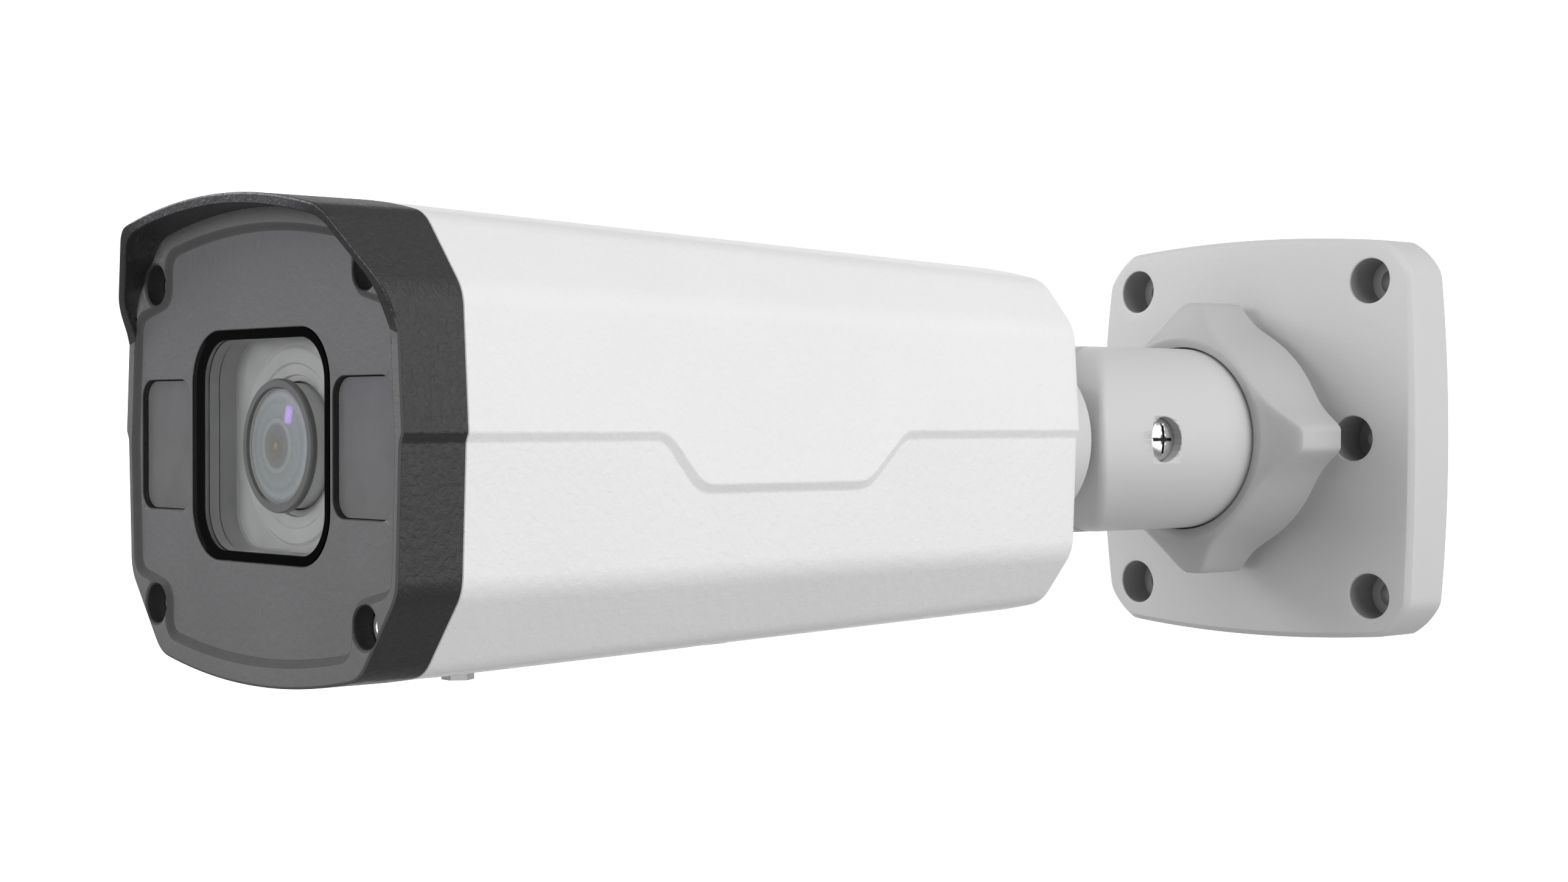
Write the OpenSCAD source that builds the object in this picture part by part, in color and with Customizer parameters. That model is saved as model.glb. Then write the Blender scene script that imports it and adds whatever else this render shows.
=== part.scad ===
// Security camera: a varifocal bullet camera on a three-axis wall bracket.
// The origin is the centre of the base plate's back face, where it meets the wall.
// -Y points out of the wall towards the lens, +Z is up. Lengths are millimetres.

/* [Wall bracket] */
// Width of the base plate
plate_w = 87; // [84:1:92]
// Height of the base plate
plate_h = 88.8; // [86:0.2:94]
// Depth of the base plate's straight rim
plate_t = 12.6; // [11:0.2:14]
// Distance between the corner screws across the plate
corner_pitch_x = 64.6; // [62:0.2:66]
// Distance between the corner screws up the plate
corner_pitch_z = 68; // [64:0.2:70]
// Distance between the two middle screws
middle_pitch = 57.8; // [57:0.2:60]
// Radius of a wall screw's hole
wall_hole_r = 2.75; // [2.25:0.05:3]
// Radius of the sunk pocket round a wall screw
wall_pocket_r = 4.85; // [4.4:0.05:5]
// Radius of the base plate's screw thread for the lock ring
thread_r = 21.6; // [21.6:0.1:21.8]

/* [Arm and neck] */
// Radius of the arm
arm_r = 19.55; // [19:0.05:19.6]
// Distance of the tilt pivot from the wall
pivot_out = 65.6; // [65:0.1:68]
// Radius of the neck where it meets the camera body
neck_r = 18; // [17.5:0.1:18.4]
// Radius of the pivot screw
pivot_r = 3; // [2.5:0.1:3.2]
// Radius of the cable passage in arm and neck
cable_r = 5.6; // [5:0.1:5.8]

/* [Camera body] */
// Distance of the face's rim from the wall
face_out = 265.4; // [260:0.1:270]
// Half width of the body above its side step
body_half_w = 43; // [42.5:0.1:44]
// Depth of the side step
step_in = 0.8; // [0.6:0.1:1]
// Height of the crown above the lens axis at the front seam
crown_z = 39.3; // [39:0.1:40]
// Depth of the belly under the lens axis at the front seam
belly_z = 37.9; // [37.5:0.1:38.5]
// Fall of the crown from front seam to rear
crown_fall = 4.9; // [4:0.1:5]
// Rise of the belly from front seam to rear
belly_rise = 4.1; // [3.5:0.1:4.2]
// Wall thickness of the housing
wall = 2.6; // [2.4:0.1:2.8]
// Reach of the hood past the face's rim
hood_out = 7; // [5:0.5:9]

/* [Face] */
// Half width of the window glass pocket
window_hw = 21.3; // [21:0.1:21.4]
// Half height of the window glass pocket
window_hh = 18.5; // [18:0.1:18.6]
// Half width of the clear view inside the mask
view_hw = 18.6; // [18:0.1:18.8]
// Half height of the clear view inside the mask
view_hh = 17; // [16.5:0.1:17]
// Distance of an infrared window's centre from the lens axis
ir_x = 30.4; // [30.2:0.1:30.5]
// Half width of an infrared window
ir_hw = 8.1; // [7.8:0.1:8.1]
// Half height of an infrared window
ir_hh = 10.5; // [10:0.1:10.6]

/* [Lens] */
// Radius of the lens's front cell
cell_r = 10; // [9.6:0.1:10]
// Radius of the lens barrel
barrel_r = 14.5; // [14:0.1:14.5]
// Tooth module of the zoom and focus gears
gear_m = 0.8; // [0.8:0.05:0.8]
// Number of teeth on the zoom and focus rings
ring_teeth = 44; // [44:1:44]
// Number of teeth on a motor pinion
pinion_teeth = 12; // [12:1:12]

/* [Hidden] */
$fn = 64;

gap = 0.3;                  // air between pieces that move against each other
fit = 0.05;                 // radial play of a running fit

// Bracket stations along Y
plate_dome_r = 553;         // radius of the plate's softly domed front
plate_crown = 15.4;         // height of that dome above the wall
plate_wall = 2.6;
plate_floor = 9.5;          // distance of the hollow back's floor from the wall
boss_out = 29;              // end of the threaded boss
swivel_r = 14;              // radius of the arm's spigot
ring_rear = 19.4;
ring_front = 38.1;
ring_lip = 33.8;            // inner face of the lock ring's lip
ring_bore_r = 20.3;
ring_tip_r = 29.75;
flange_r = 21.2;            // arm flange held behind the lip
flange_front = 33.4;
flange_rear = 30.3;
spigot_end = 17;
half_lap_x = -0.25;         // plane where the two knuckle halves meet
knuckle_boss_r = 6.4;
knuckle_room_r = 13.4;
knuckle_room_x = 9.5;
head_r = 3.75;              // pivot screw head
head_pocket_r = 4.7;
head_seat_x = 13.6;

// Camera body stations, counted as a depth behind the face's rim
seam = 11.5;                // front cover meets housing
body_end = 147.4;
taper_run = body_end - seam;
rear_wall = 4;
neck_out = 86.7;            // rear face of the neck
neck_front = 117.7;         // its front face, next to the body
crown_r = 135;
belly_r = 151;
crown_tilt = atan(crown_fall / taper_run);
belly_tilt = atan(belly_rise / taper_run);
top_bevel = [39.9, 46.79, 0.59];      // direction, distance from axis, tilt
low_bevel = [-37.9, 45.72, 0.3];
side_draft = 0.067;         // inward lean of the sides per unit of height
step_z = 1.5;               // side step's height
dip_z = -7;                 // its height along the lowered stretch
dip = [49.5, 57, 93.3, 102];
screw_x = 32.4;
screw_z = 26.6;
pad_depth = 0.95;
face_back = 4.6;
glass_back = 1.95;
mask_back = 2.1;
window_back = 2.9;
ir_front = 1.95;
ir_back = 3.4;

// Service opening in the belly
hatch_hw = 24.5;
hatch = [20, 78];
bay_hw = 15.5;
bay = [29, 66];
stud_at = [20, 25];         // hex studs at the cover's front corners
cup_at = [20.5, 72.5];      // sunk cups at its rear corners
cup_r = 6;
sensor_x = -4.9;            // light sensor's place beside the two lamps
cup_seat = -32;             // floor of the cups
cup_t = 1.6;
rim_t = 2.2;
gasket_t = 0.5;

// Lens and electronics stations
shroud = [4.8, 8.6];
cell = [4.4, 16];
barrel = [9, 47];
zoom_at = [18, 25];
focus_at = [32, 39];
ring_root_r = barrel_r + fit;
gear_centre = gear_m * (ring_teeth + pinion_teeth) / 2;
zoom_dir = 135;
focus_dir = 45;
holder = [47, 53];
chassis_d = [53, 124];
chassis_z = -19;
sheet_t = 1.6;
board_z = -22;

function at(d) = d - face_out;

// Cylinder along Y between two depths behind the face's rim
module bar(r, d0, d1) {
  translate([0, at(d0), 0]) rotate([-90, 0, 0]) cylinder(r = r, h = d1 - d0);
}

// Cylinder along Y between two distances from the wall
module post(r, out0, out1) {
  translate([0, -out1, 0]) rotate([-90, 0, 0]) cylinder(r = r, h = out1 - out0);
}

// Cylinder along X
module cross_bar(r, x0, x1) {
  translate([x0, -pivot_out, 0]) rotate([0, 90, 0]) cylinder(r = r, h = x1 - x0);
}

// An outline in X and Z, pushed along Y between two depths behind the face's rim
module slab(d0, d1) {
  translate([0, at(d1), 0]) rotate([90, 0, 0]) linear_extrude(d1 - d0) children();
}

// The same between two distances from the wall
module sheet(out0, out1) {
  translate([0, -out0, 0]) rotate([90, 0, 0]) linear_extrude(out1 - out0) children();
}

// A box given by its low and high corners, with the depth behind the rim as its Y
module block(x0, x1, d0, d1, z0, z1) {
  translate([x0, at(d0), z0]) cube([x1 - x0, d1 - d0, z1 - z0]);
}

module rounded_rect(hx, hz, r) {
  square([2 * (hx - r), 2 * hz], center = true);
  square([2 * hx, 2 * (hz - r)], center = true);
  for (sx = [-1, 1], sz = [-1, 1]) translate([sx * (hx - r), sz * (hz - r)]) circle(r);
}

module both_sides() {
  children();
  mirror([1, 0, 0]) children();
}

// ---- Wall bracket ----

// Rounded square with softly bowed sides
module plate_outline() {
  bow_r = 364;
  hw = plate_w / 2;
  hh = plate_h / 2;
  intersection() {
    rounded_rect(hw, hh, 16);
    translate([hw - bow_r, 0]) circle(bow_r, $fn = 200);
    translate([bow_r - hw, 0]) circle(bow_r, $fn = 200);
    translate([0, hh - bow_r]) circle(bow_r, $fn = 200);
    translate([0, bow_r - hh]) circle(bow_r, $fn = 200);
  }
}

module wall_hole_places() {
  for (sx = [-1, 1], sz = [-1, 1])
    translate([sx * corner_pitch_x / 2, 0, sz * corner_pitch_z / 2]) children();
  for (sx = [-1, 1]) translate([sx * middle_pitch / 2, 0, 0]) children();
}

module plate_dome() {
  translate([0, plate_dome_r - plate_crown, 0]) rotate([90, 0, 0]) sphere(plate_dome_r, $fn = 200);
}

module base_plate() {
  pocket_floor = 5;
  color("gainsboro") difference() {
    union() {
      intersection() {
        sheet(0, plate_crown + 1) plate_outline();
        plate_dome();
      }
      post(thread_r, plate_floor, boss_out);
    }
    difference() {
      sheet(-1, plate_floor) rounded_rect(plate_w / 2 - plate_wall, plate_h / 2 - plate_wall, 12.4);
      wall_hole_places() post(7, -2, plate_floor + 1);
    }
    wall_hole_places() post(wall_hole_r, -1, plate_t);
    wall_hole_places() post(wall_pocket_r, pocket_floor, 30);
    post(swivel_r + fit, 13, 40);
    post(8, 5, 20);
  }
}

module wall_gasket() {
  color("dimgray") sheet(0, 2) difference() {
    rounded_rect(plate_w / 2 - plate_wall - 0.1, plate_h / 2 - plate_wall - 0.1, 12.3);
    rounded_rect(plate_w / 2 - 5.4, plate_h / 2 - 5.4, 9.6);
    for (sx = [-1, 1], sz = [-1, 1])
      translate([sx * corner_pitch_x / 2, sz * corner_pitch_z / 2]) circle(7.1);
  }
}

module cable_grommet() {
  color("black") difference() {
    union() {
      post(7.95, plate_floor, 13);
      post(10, 7.9, plate_floor);
      post(9.6, 13, 14.2);
    }
    post(3, 5, 20);
  }
}

module swivel_washer() {
  color("silver") difference() {
    post(21, boss_out, boss_out + 1);
    post(swivel_r + 0.4, boss_out - 1, boss_out + 2);
  }
}

module lock_ring_outline() {
  flank = 45.2;
  circle(24.3);
  intersection() {
    rotate(45) square(flank, center = true);
    square(2 * ring_tip_r, center = true);
  }
}

module lock_ring() {
  lobe_front = 32.8;
  color("gainsboro") difference() {
    intersection() {
      sheet(ring_rear, ring_front) lock_ring_outline();
      rotate([90, 0, 0]) rotate_extrude() polygon([
        [0, 0], [40, 0], [40, 27], [ring_tip_r, lobe_front], [ring_bore_r, ring_front], [0, ring_front]]);
    }
    post(ring_bore_r, ring_rear - 1, ring_front + 1);
    post(thread_r + 0.06, ring_rear - 1, ring_lip);
  }
}

// ---- Arm ----

module knuckle_room(side) {
  difference() {
    cross_bar(knuckle_room_r, side > 0 ? -5 : -knuckle_room_x, side > 0 ? knuckle_room_x : 5);
    cross_bar(knuckle_boss_r, -30, 30);
  }
}

module arm() {
  color("gainsboro") difference() {
    union() {
      intersection() {
        post(arm_r, flange_front, pivot_out + arm_r);
        union() {
          cross_bar(arm_r, -30, 30);
          translate([-50, -pivot_out, -50]) cube([100, 60, 100]);
        }
      }
      post(flange_r, flange_rear, flange_front);
      post(swivel_r, spigot_end, flange_rear);
    }
    translate([-60 + half_lap_x, -pivot_out - 50, -50]) cube([60, 50, 100]);
    cross_bar(arm_r + gap, -60, half_lap_x);
    // Straight below the pivot, so that the neck's lower edge can swing past
    translate([-60 + half_lap_x, -pivot_out, -50]) cube([60, arm_r + gap, 50]);
    post(cable_r, spigot_end - 1, pivot_out - knuckle_room_r + 2);
    knuckle_room(1);
    cross_bar(pivot_r + fit, -10, 30);
    cross_bar(head_pocket_r, head_seat_x, 30);
  }
}

module pivot_washer() {
  color("silver") difference() {
    cross_bar(head_pocket_r - 0.15, head_seat_x, head_seat_x + 0.8);
    cross_bar(pivot_r + 0.2, 0, 30);
  }
}

module cross_recess(r, depth) {
  for (a = [0, 90]) rotate(a) translate([-r, -0.45, -depth]) cube([2 * r, 0.9, depth + 3]);
}

// Pan head with its seat at z = 0 and its dome upwards
module pan_head(r, h, recess) {
  dome_r = (r * r + h * h) / (2 * h) * 1.25;
  difference() {
    intersection() {
      cylinder(r = r, h = h);
      translate([0, 0, h - dome_r]) sphere(dome_r, $fn = 96);
    }
    translate([0, 0, h]) cross_recess(r * 0.55, recess);
  }
}

module pivot_screw() {
  seat = head_seat_x + 1.1;
  color("silver") {
    cross_bar(pivot_r, -14, seat);
    translate([seat, -pivot_out, 0]) rotate([0, 90, 0]) pan_head(head_r, 2.8, 1.5);
  }
}

// ---- Neck ----

module neck() {
  half = half_lap_x - gap;
  spigot_front = 128;
  color("gainsboro") difference() {
    union() {
      post(neck_r, neck_out, neck_front);
      post(swivel_r - fit, neck_front - 1, spigot_front);
      intersection() {
        post(arm_r, pivot_out - arm_r, neck_out + 3);
        union() {
          cross_bar(arm_r, -30, half);
          translate([half - 50, -neck_out - 3, -50]) cube([50, neck_out + 3 - pivot_out, 100]);
        }
      }
    }
    post(cable_r, pivot_out + knuckle_boss_r, 200);
    knuckle_room(-1);
    cross_bar(pivot_r, -15, 10);
    rotate([90, 0, 0]) rotate_extrude() translate([14.7, neck_front - 2]) square([2.2, 5]);
  }
}

module neck_nut() {
  color("silver") difference() {
    post(19, 123.4, 127.4);
    post(swivel_r, 120, 130);
    for (a = [0:60:300]) rotate([0, a, 0]) translate([17.6, -130, -1.5]) cube([4, 10, 3]);
  }
}

module neck_washer() {
  color("silver") difference() {
    post(18.4, 122.3, 123.4);
    post(swivel_r + 0.1, 120, 130);
  }
}

module neck_seal_ring() {
  color("black") rotate([90, 0, 0]) rotate_extrude() translate([15.8, neck_front - 1]) circle(0.95, $fn = 32);
}

module cable_gland() {
  color("black") difference() {
    union() {
      post(cable_r - fit, 120, 128);
      translate([0, -133, 0]) rotate([-90, 0, 0]) cylinder(r = 8, h = 5, $fn = 6);
      post(6.4, 133, 136);
    }
    post(2.8, 110, 140);
  }
}

// ---- Housing ----

// Octagonal section with a crown and a belly, at the front seam
module body_section(inset, half_w) {
  difference() {
    intersection() {
      side_outline(inset, half_w);
      translate([0, crown_z - crown_r]) circle(crown_r - inset, $fn = 200);
      translate([0, belly_r - belly_z]) circle(belly_r - inset, $fn = 200);
    }
    for (m = [0, 1], bevel = [top_bevel, low_bevel])
      mirror([m, 0]) rotate(bevel[0]) translate([bevel[1] - inset, -60]) square([60, 120]);
  }
}

module side_outline(inset, half_w) {
  reach = 50;
  w = half_w - inset;
  lean = reach * side_draft;
  polygon([[w, 0], [w - lean, reach], [lean - w, reach], [-w, 0], [lean * 0.7 - w, -reach],
    [w - lean * 0.7, -reach]]);
}

// Half space beyond a sloping bevel plane
module bevel_cut(bevel, inset) {
  translate([0, at(seam), 0]) rotate([0, -bevel[0], 0]) translate([bevel[1] - inset, 0, 0])
    rotate([0, 0, bevel[2]]) translate([0, -100, -60]) cube([60, 400, 120]);
}

// The tapered body between two depths, shrunk by an inset
module body_form(inset, half_w, d0, d1) {
  difference() {
    intersection() {
      slab(d0, d1) side_outline(inset, half_w);
      translate([0, at(seam), crown_z - crown_r]) rotate([-90 - crown_tilt, 0, 0])
        translate([0, 0, -100]) cylinder(r = crown_r - inset, h = 400, $fn = 200);
      translate([0, at(seam), belly_r - belly_z]) rotate([-90 + belly_tilt, 0, 0])
        translate([0, 0, -100]) cylinder(r = belly_r - inset, h = 400, $fn = 200);
    }
    both_sides() bevel_cut(top_bevel, inset);
    both_sides() bevel_cut(low_bevel, inset);
  }
}

// Space above the side step, which dips along the middle of the body
module above_step() {
  translate([-60, 0, 0]) rotate([90, 0, 90]) linear_extrude(120) polygon([
    [at(-30), 60], [at(-30), step_z], [at(dip[0]), step_z], [at(dip[1]), dip_z],
    [at(dip[2]), dip_z], [at(dip[3]), step_z], [at(170), step_z], [at(170), 60]]);
}

module plan_prism(hw, d0, d1, r) {
  mid = (d0 + d1) / 2;
  translate([0, at(mid), -60]) linear_extrude(50) rounded_rect(hw, (d1 - d0) / 2, r);
}

narrow = body_half_w - step_in;

module front_screw_places() {
  for (sx = [-1, 1], sz = [-1, 1]) translate([sx * screw_x, 0, sz * screw_z]) children();
}

module chassis_screw_places(z) {
  for (sx = [-1, 1], d = [84, 118]) translate([sx * 30, at(d), z]) children();
}

module main_board_places(z) {
  for (sx = [-1, 1], d = [60, 110]) translate([sx * 16, at(d), z]) children();
}

module power_board_places(z) {
  for (sx = [-1, 1], d = [86, 118]) translate([sx * 22, at(d), z]) children();
}

module stud_places(z = 0) {
  for (sx = [-1, 1]) translate([sx * stud_at[0], at(stud_at[1]), z]) children();
}

module cup_places(z = 0) {
  for (sx = [-1, 1]) translate([sx * cup_at[0], at(cup_at[1]), z]) children();
}

module housing() {
  cavity_end = body_end - rear_wall;
  post_end = 36;
  color("white") difference() {
    union() {
      difference() {
        union() {
          body_form(0, narrow, seam, body_end);
          intersection() {
            body_form(0, body_half_w, seam, body_end);
            above_step();
          }
        }
        body_form(wall, narrow, seam - 1, cavity_end);
      }
      intersection() {
        body_form(wall - 0.1, narrow, seam, body_end);
        union() {
          front_screw_places() bar(4.2, 17.2, post_end);
          chassis_screw_places(-40) cylinder(r = 3.2, h = 40 + chassis_z);
          stud_places(-40) cylinder(r = 3.3, h = 13.5);
          cup_places(-40) cylinder(r = cup_r + 1.4, h = 13.5);
          difference() {
            plan_prism(hatch_hw + 2, hatch[0] - 2, hatch[1] + 2, 5);
            body_form(wall + rim_t, narrow, 0, body_end);
          }
        }
      }
    }
    difference() {
      plan_prism(hatch_hw, hatch[0], hatch[1], 3.5);
      body_form(wall, narrow, 0, body_end);
    }
    plan_prism(bay_hw, bay[0], bay[1], 3);
    front_screw_places() bar(2.02, 10, 32);
    chassis_screw_places(-27) cylinder(r = 1.3, h = 20);
    cup_places(cup_seat + cup_t + gap - 20) cylinder(r = cup_r + gap, h = 20);
    stud_places(-45) cylinder(r = 1.5 + fit, h = 17);
    cup_places(-45) cylinder(r = 1.5 + fit, h = 17);
    bar(swivel_r, 130, 160);
  }
}

// ---- Front cover ----

module screw_patch() {
  polygon([[28.6, 45], [29, 31.6], [30.1, 29.2], [29.3, 26.6], [30, 24.4], [31.6, 23.2], [35.8, 21.9],
    [39.9, 20.1], [41.6, 15.5], [41.8, 14.2], [50, 14], [50, 45]]);
}

module pad_outline() {
  difference() {
    intersection() {
      body_section(1.2, narrow);
      translate([0, 34.4 - crown_r]) circle(crown_r, $fn = 200);
      translate([0, belly_r - 34]) circle(belly_r, $fn = 200);
    }
    for (mx = [0, 1], mz = [0, 1]) mirror([mx, 0]) mirror([0, mz]) screw_patch();
  }
}

// Space behind the hood's slanting edge
module hood_side() {
  translate([-60, 0, 0]) rotate([90, 0, 90]) linear_extrude(120) polygon([
    [at(0), 17.4], [at(-hood_out), 35.7], [at(-hood_out), 60], [at(3), 60], [at(3), 17.4]]);
}

module front_cover() {
  color("dimgray") difference() {
    union() {
      difference() {
        union() {
          slab(0, seam) body_section(0, narrow);
          intersection() {
            slab(0, seam) body_section(0, body_half_w);
            above_step();
          }
        }
        slab(face_back, seam + 1) body_section(wall, narrow);
      }
      intersection() {
        slab(-hood_out, 1) difference() {
          body_section(0, body_half_w);
          body_section(1.8, body_half_w);
        }
        hood_side();
      }
      slab(seam - 3, seam + 5) difference() {
        body_section(wall + gap, narrow);
        body_section(wall + 2, narrow);
      }
      intersection() {
        slab(face_back - 1, seam + 5) body_section(wall + gap, narrow);
        front_screw_places() bar(4.9, 2, seam + 5);
      }
      slab(seam - 4, seam - 2.9) difference() {
        body_section(wall - 0.1, narrow);
        body_section(wall + 2, narrow);
      }
    }
    slab(-0.01, pad_depth) pad_outline();
    slab(0, window_back) rounded_rect(window_hw, window_hh, 8.6);
    slab(0, 8) rounded_rect(view_hw, view_hh, 7);
    for (sx = [-1, 1]) translate([sx * ir_x, 0, 0]) {
      slab(0, ir_back) rounded_rect(ir_hw + 0.15, ir_hh + 0.25, 3.1);
      slab(0, 8) rounded_rect(6.8, 9, 2);
    }
    front_screw_places() {
      bar(3.3, -2, 6.5);
      bar(2.15, 0, 30);
    }
    slab(12.4, 14.6) seal_track(0, 1.1);
  }
}

// Band along the inside of the wall that passes inside the screws
module seal_track(near, far) {
  difference() {
    seal_line(near);
    seal_line(far);
  }
}

module seal_line(inset) {
  difference() {
    body_section(wall + inset, narrow);
    for (sx = [-1, 1], sz = [-1, 1]) translate([sx * screw_x, sz * screw_z]) circle(2.7 + inset);
  }
}

module front_gasket() {
  color("dimgray") slab(12.5, 14.5) seal_track(0.25, 1.05);
}

module front_screws() {
  color("silver") front_screw_places() translate([0, at(6.5), 0]) {
    rotate([-90, 0, 0]) cylinder(r = 2, h = 22);
    rotate([90, 0, 0]) pan_head(3.15, 2.2, 1.3);
  }
}

// ---- Windows and infrared lamps ----

module window_glass() {
  color("lightcyan") slab(pad_depth, glass_back) rounded_rect(window_hw - 0.15, window_hh - 0.15, 8.45);
}

module window_mask() {
  color("black") slab(glass_back, mask_back) difference() {
    rounded_rect(window_hw - 0.15, window_hh - 0.15, 8.45);
    rounded_rect(view_hw, view_hh, 7);
  }
}

module window_gasket() {
  color("dimgray") slab(mask_back, window_back) difference() {
    rounded_rect(window_hw - 0.15, window_hh - 0.15, 8.45);
    rounded_rect(view_hw + 0.3, view_hh + 0.3, 7.3);
  }
}

module ir_window() {
  translate([ir_x, 0, 0]) slab(ir_front, ir_back) rounded_rect(ir_hw, ir_hh + 0.1, 3);
}

module ir_window_left() {
  color("slategray") mirror([1, 0, 0]) ir_window();
}

module ir_window_right() {
  color("slategray") ir_window();
}

module ir_reflector() {
  cup_z = 4.6;
  translate([ir_x, 0, 0]) difference() {
    slab(face_back + 0.1, 10.6) rounded_rect(6.3, 9.4, 1.5);
    for (sz = [-1, 1]) translate([0, at(face_back), sz * cup_z]) rotate([-90, 0, 0])
      cylinder(r1 = 4.3, r2 = 2.1, h = 7);
    translate([sensor_x, 0, 0]) bar(1.3, 0, 20);
  }
}

module ir_reflector_left() {
  color("silver") mirror([1, 0, 0]) ir_reflector();
}

module ir_reflector_right() {
  color("silver") ir_reflector();
}

module ir_board() {
  translate([ir_x - 0.6, 0, 0]) slab(10.7, 12.3) rounded_rect(6.6, 13, 1);
}

module ir_board_left() {
  color("seagreen") mirror([1, 0, 0]) ir_board();
}

module ir_board_right() {
  color("seagreen") ir_board();
}

module ir_leds() {
  for (sz = [-1, 1]) translate([ir_x, at(10.7), sz * 4.6]) rotate([90, 0, 0]) {
    cylinder(r = 1.9, h = 0.9);
    intersection() {
      cylinder(r = 1.5, h = 4);
      translate([0, 0, 0.9]) sphere(1.5);
    }
  }
}

module ir_leds_left() {
  color("khaki") mirror([1, 0, 0]) ir_leds();
}

module ir_leds_right() {
  color("khaki") ir_leds();
}

module lens_shroud() {
  floor_d = 7.4;
  color("gray") difference() {
    union() {
      slab(shroud[0], shroud[1]) rounded_rect(20.4, 18.8, 8);
      bar(15.6, 7, shroud[1]);
    }
    slab(0, floor_d) rounded_rect(view_hw + 0.1, view_hh + 0.1, 7);
    bar(cell_r + 0.5, 0, 20);
  }
}

module light_sensor() {
  color("black") translate([ir_x + sensor_x, 0, 0]) {
    bar(1.2, 5.8, 10.7);
    translate([0, at(5.8), 0]) sphere(1.2);
  }
}

// ---- Lens ----

module front_lens_cell() {
  color("black") difference() {
    bar(cell_r, cell[0], cell[1]);
    bar(8.6, cell[0] - 1, 11);
    bar(7.2, cell[0] - 1, cell[1] + 1);
  }
}

module front_lens() {
  dome = 22;
  color("lightblue") intersection() {
    bar(8.55, 5.4, 11);
    translate([0, at(5.4) + dome, 0]) rotate([90, 0, 0]) sphere(dome, $fn = 96);
  }
}

module lens_barrel() {
  color("black") difference() {
    union() {
      bar(barrel_r, barrel[0] + 8, barrel[1]);
      bar(barrel_r - 2, barrel[0], barrel[0] + 8);
      bar(barrel_r + 1.5, 27.5, 29.5);
      bar(barrel_r + 1.5, 43, barrel[1]);
    }
    bar(cell_r + fit, 0, 23);
    bar(8, 20, 60);
  }
}

module rear_lens() {
  dome = 16;
  color("lightblue") intersection() {
    bar(7.95, 34, 40);
    translate([0, at(40) - dome, 0]) rotate([-90, 0, 0]) sphere(dome, $fn = 96);
  }
}

// Straight-sided gear outline with a tooth centred on the +X axis
module gear_outline(teeth) {
  r = gear_m * teeth / 2;
  tip = r + 0.75 * gear_m;
  root = r - 1.1 * gear_m;
  pitch = 360 / teeth;
  polygon([for (i = [0:teeth - 1]) each [
    [root * cos((i - 0.25) * pitch), root * sin((i - 0.25) * pitch)],
    [tip * cos((i - 0.1) * pitch), tip * sin((i - 0.1) * pitch)],
    [tip * cos((i + 0.1) * pitch), tip * sin((i + 0.1) * pitch)],
    [root * cos((i + 0.25) * pitch), root * sin((i + 0.25) * pitch)]]]);
}

module ring_gear(span, direction) {
  slab(span[0], span[1]) difference() {
    rotate(direction) gear_outline(ring_teeth);
    circle(ring_root_r);
  }
}

module pinion(span, direction) {
  centre = [gear_centre * cos(direction), gear_centre * sin(direction)];
  slab(span[0] + 1, span[1] - 1) translate(centre) difference() {
    rotate(direction + 180 + 180 / pinion_teeth) gear_outline(pinion_teeth);
    circle(1 + fit);
  }
}

// Flat stepper motor behind a gear, with its shaft reaching through the pinion
module motor(span, direction) {
  centre = [gear_centre * cos(direction), gear_centre * sin(direction)];
  rear = span[1] + 0.5;
  slab(rear, rear + 6) translate(centre) circle(5.4);
  slab(span[0] + 0.8, rear + 0.5) translate(centre) circle(1);
}

module zoom_ring() {
  color("dimgray") ring_gear(zoom_at, zoom_dir);
}

module focus_ring() {
  color("dimgray") ring_gear(focus_at, focus_dir);
}

module zoom_motor() {
  color("silver") motor(zoom_at, zoom_dir);
}

module focus_motor() {
  color("silver") motor(focus_at, focus_dir);
}

module zoom_pinion() {
  color("ivory") pinion(zoom_at, zoom_dir);
}

module focus_pinion() {
  color("ivory") pinion(focus_at, focus_dir);
}

module filter_holder() {
  color("black") difference() {
    block(-16, 16, holder[0], holder[1], -13, 13);
    block(-17, 17, 48.8, 51.4, -7, 7);
    bar(6, 40, 60);
  }
}

module filter_slide() {
  color("darkred") difference() {
    block(-13.5, 5.5, 49.1, 51.1, -6.6, 6.6);
    translate([-9, 0, 0]) bar(3.2, 49.9, 60);
    bar(4.2, 49.9, 60);
  }
}

module image_sensor() {
  color("darkslateblue") block(-5, 5, 54.9, 56.2, -4, 4);
}

module sensor_board() {
  color("seagreen") slab(56.2, 57.8) difference() {
    rounded_rect(17, 16, 2);
    for (sx = [-1, 1], sz = [-1, 1]) translate([sx * 14.5, sz * 13.5]) circle(1.2);
  }
}

// ---- Electronics ----

module chassis() {
  color("lightgray") difference() {
    union() {
      block(-34, 34, 80, chassis_d[1], chassis_z, chassis_z + sheet_t);
      block(-20, 20, chassis_d[0], 80, chassis_z, chassis_z + sheet_t);
      block(-20, 20, chassis_d[0], chassis_d[0] + 1.5, chassis_z, 20);
      main_board_places(board_z + sheet_t) cylinder(r = 2.4, h = 2);
      power_board_places(chassis_z) cylinder(r = 2.4, h = 8);
    }
    bar(8, 40, 70);
    main_board_places(-30) cylinder(r = 1.25, h = 20);
    chassis_screw_places(-30) cylinder(r = 1.6, h = 20);
    power_board_places(-15) cylinder(r = 1.25, h = 20);
  }
}

module small_screw(r, h) {
  translate([0, 0, -h]) cylinder(r = r, h = h);
  pan_head(2 * r, 1.2 * r, r * 0.8);
}

module chassis_screws() {
  color("silver") chassis_screw_places(chassis_z + sheet_t) small_screw(1.28, 7);
}

module board_screws() {
  color("silver") {
    main_board_places(board_z) mirror([0, 0, 1]) small_screw(1.2, 3.5);
    power_board_places(-9.4) small_screw(1.2, 4);
  }
}

module main_board() {
  color("seagreen") difference() {
    block(-24, 24, 40, 118, board_z, board_z + sheet_t);
    main_board_places(-30) cylinder(r = 1.25, h = 20);
  }
}

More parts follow.
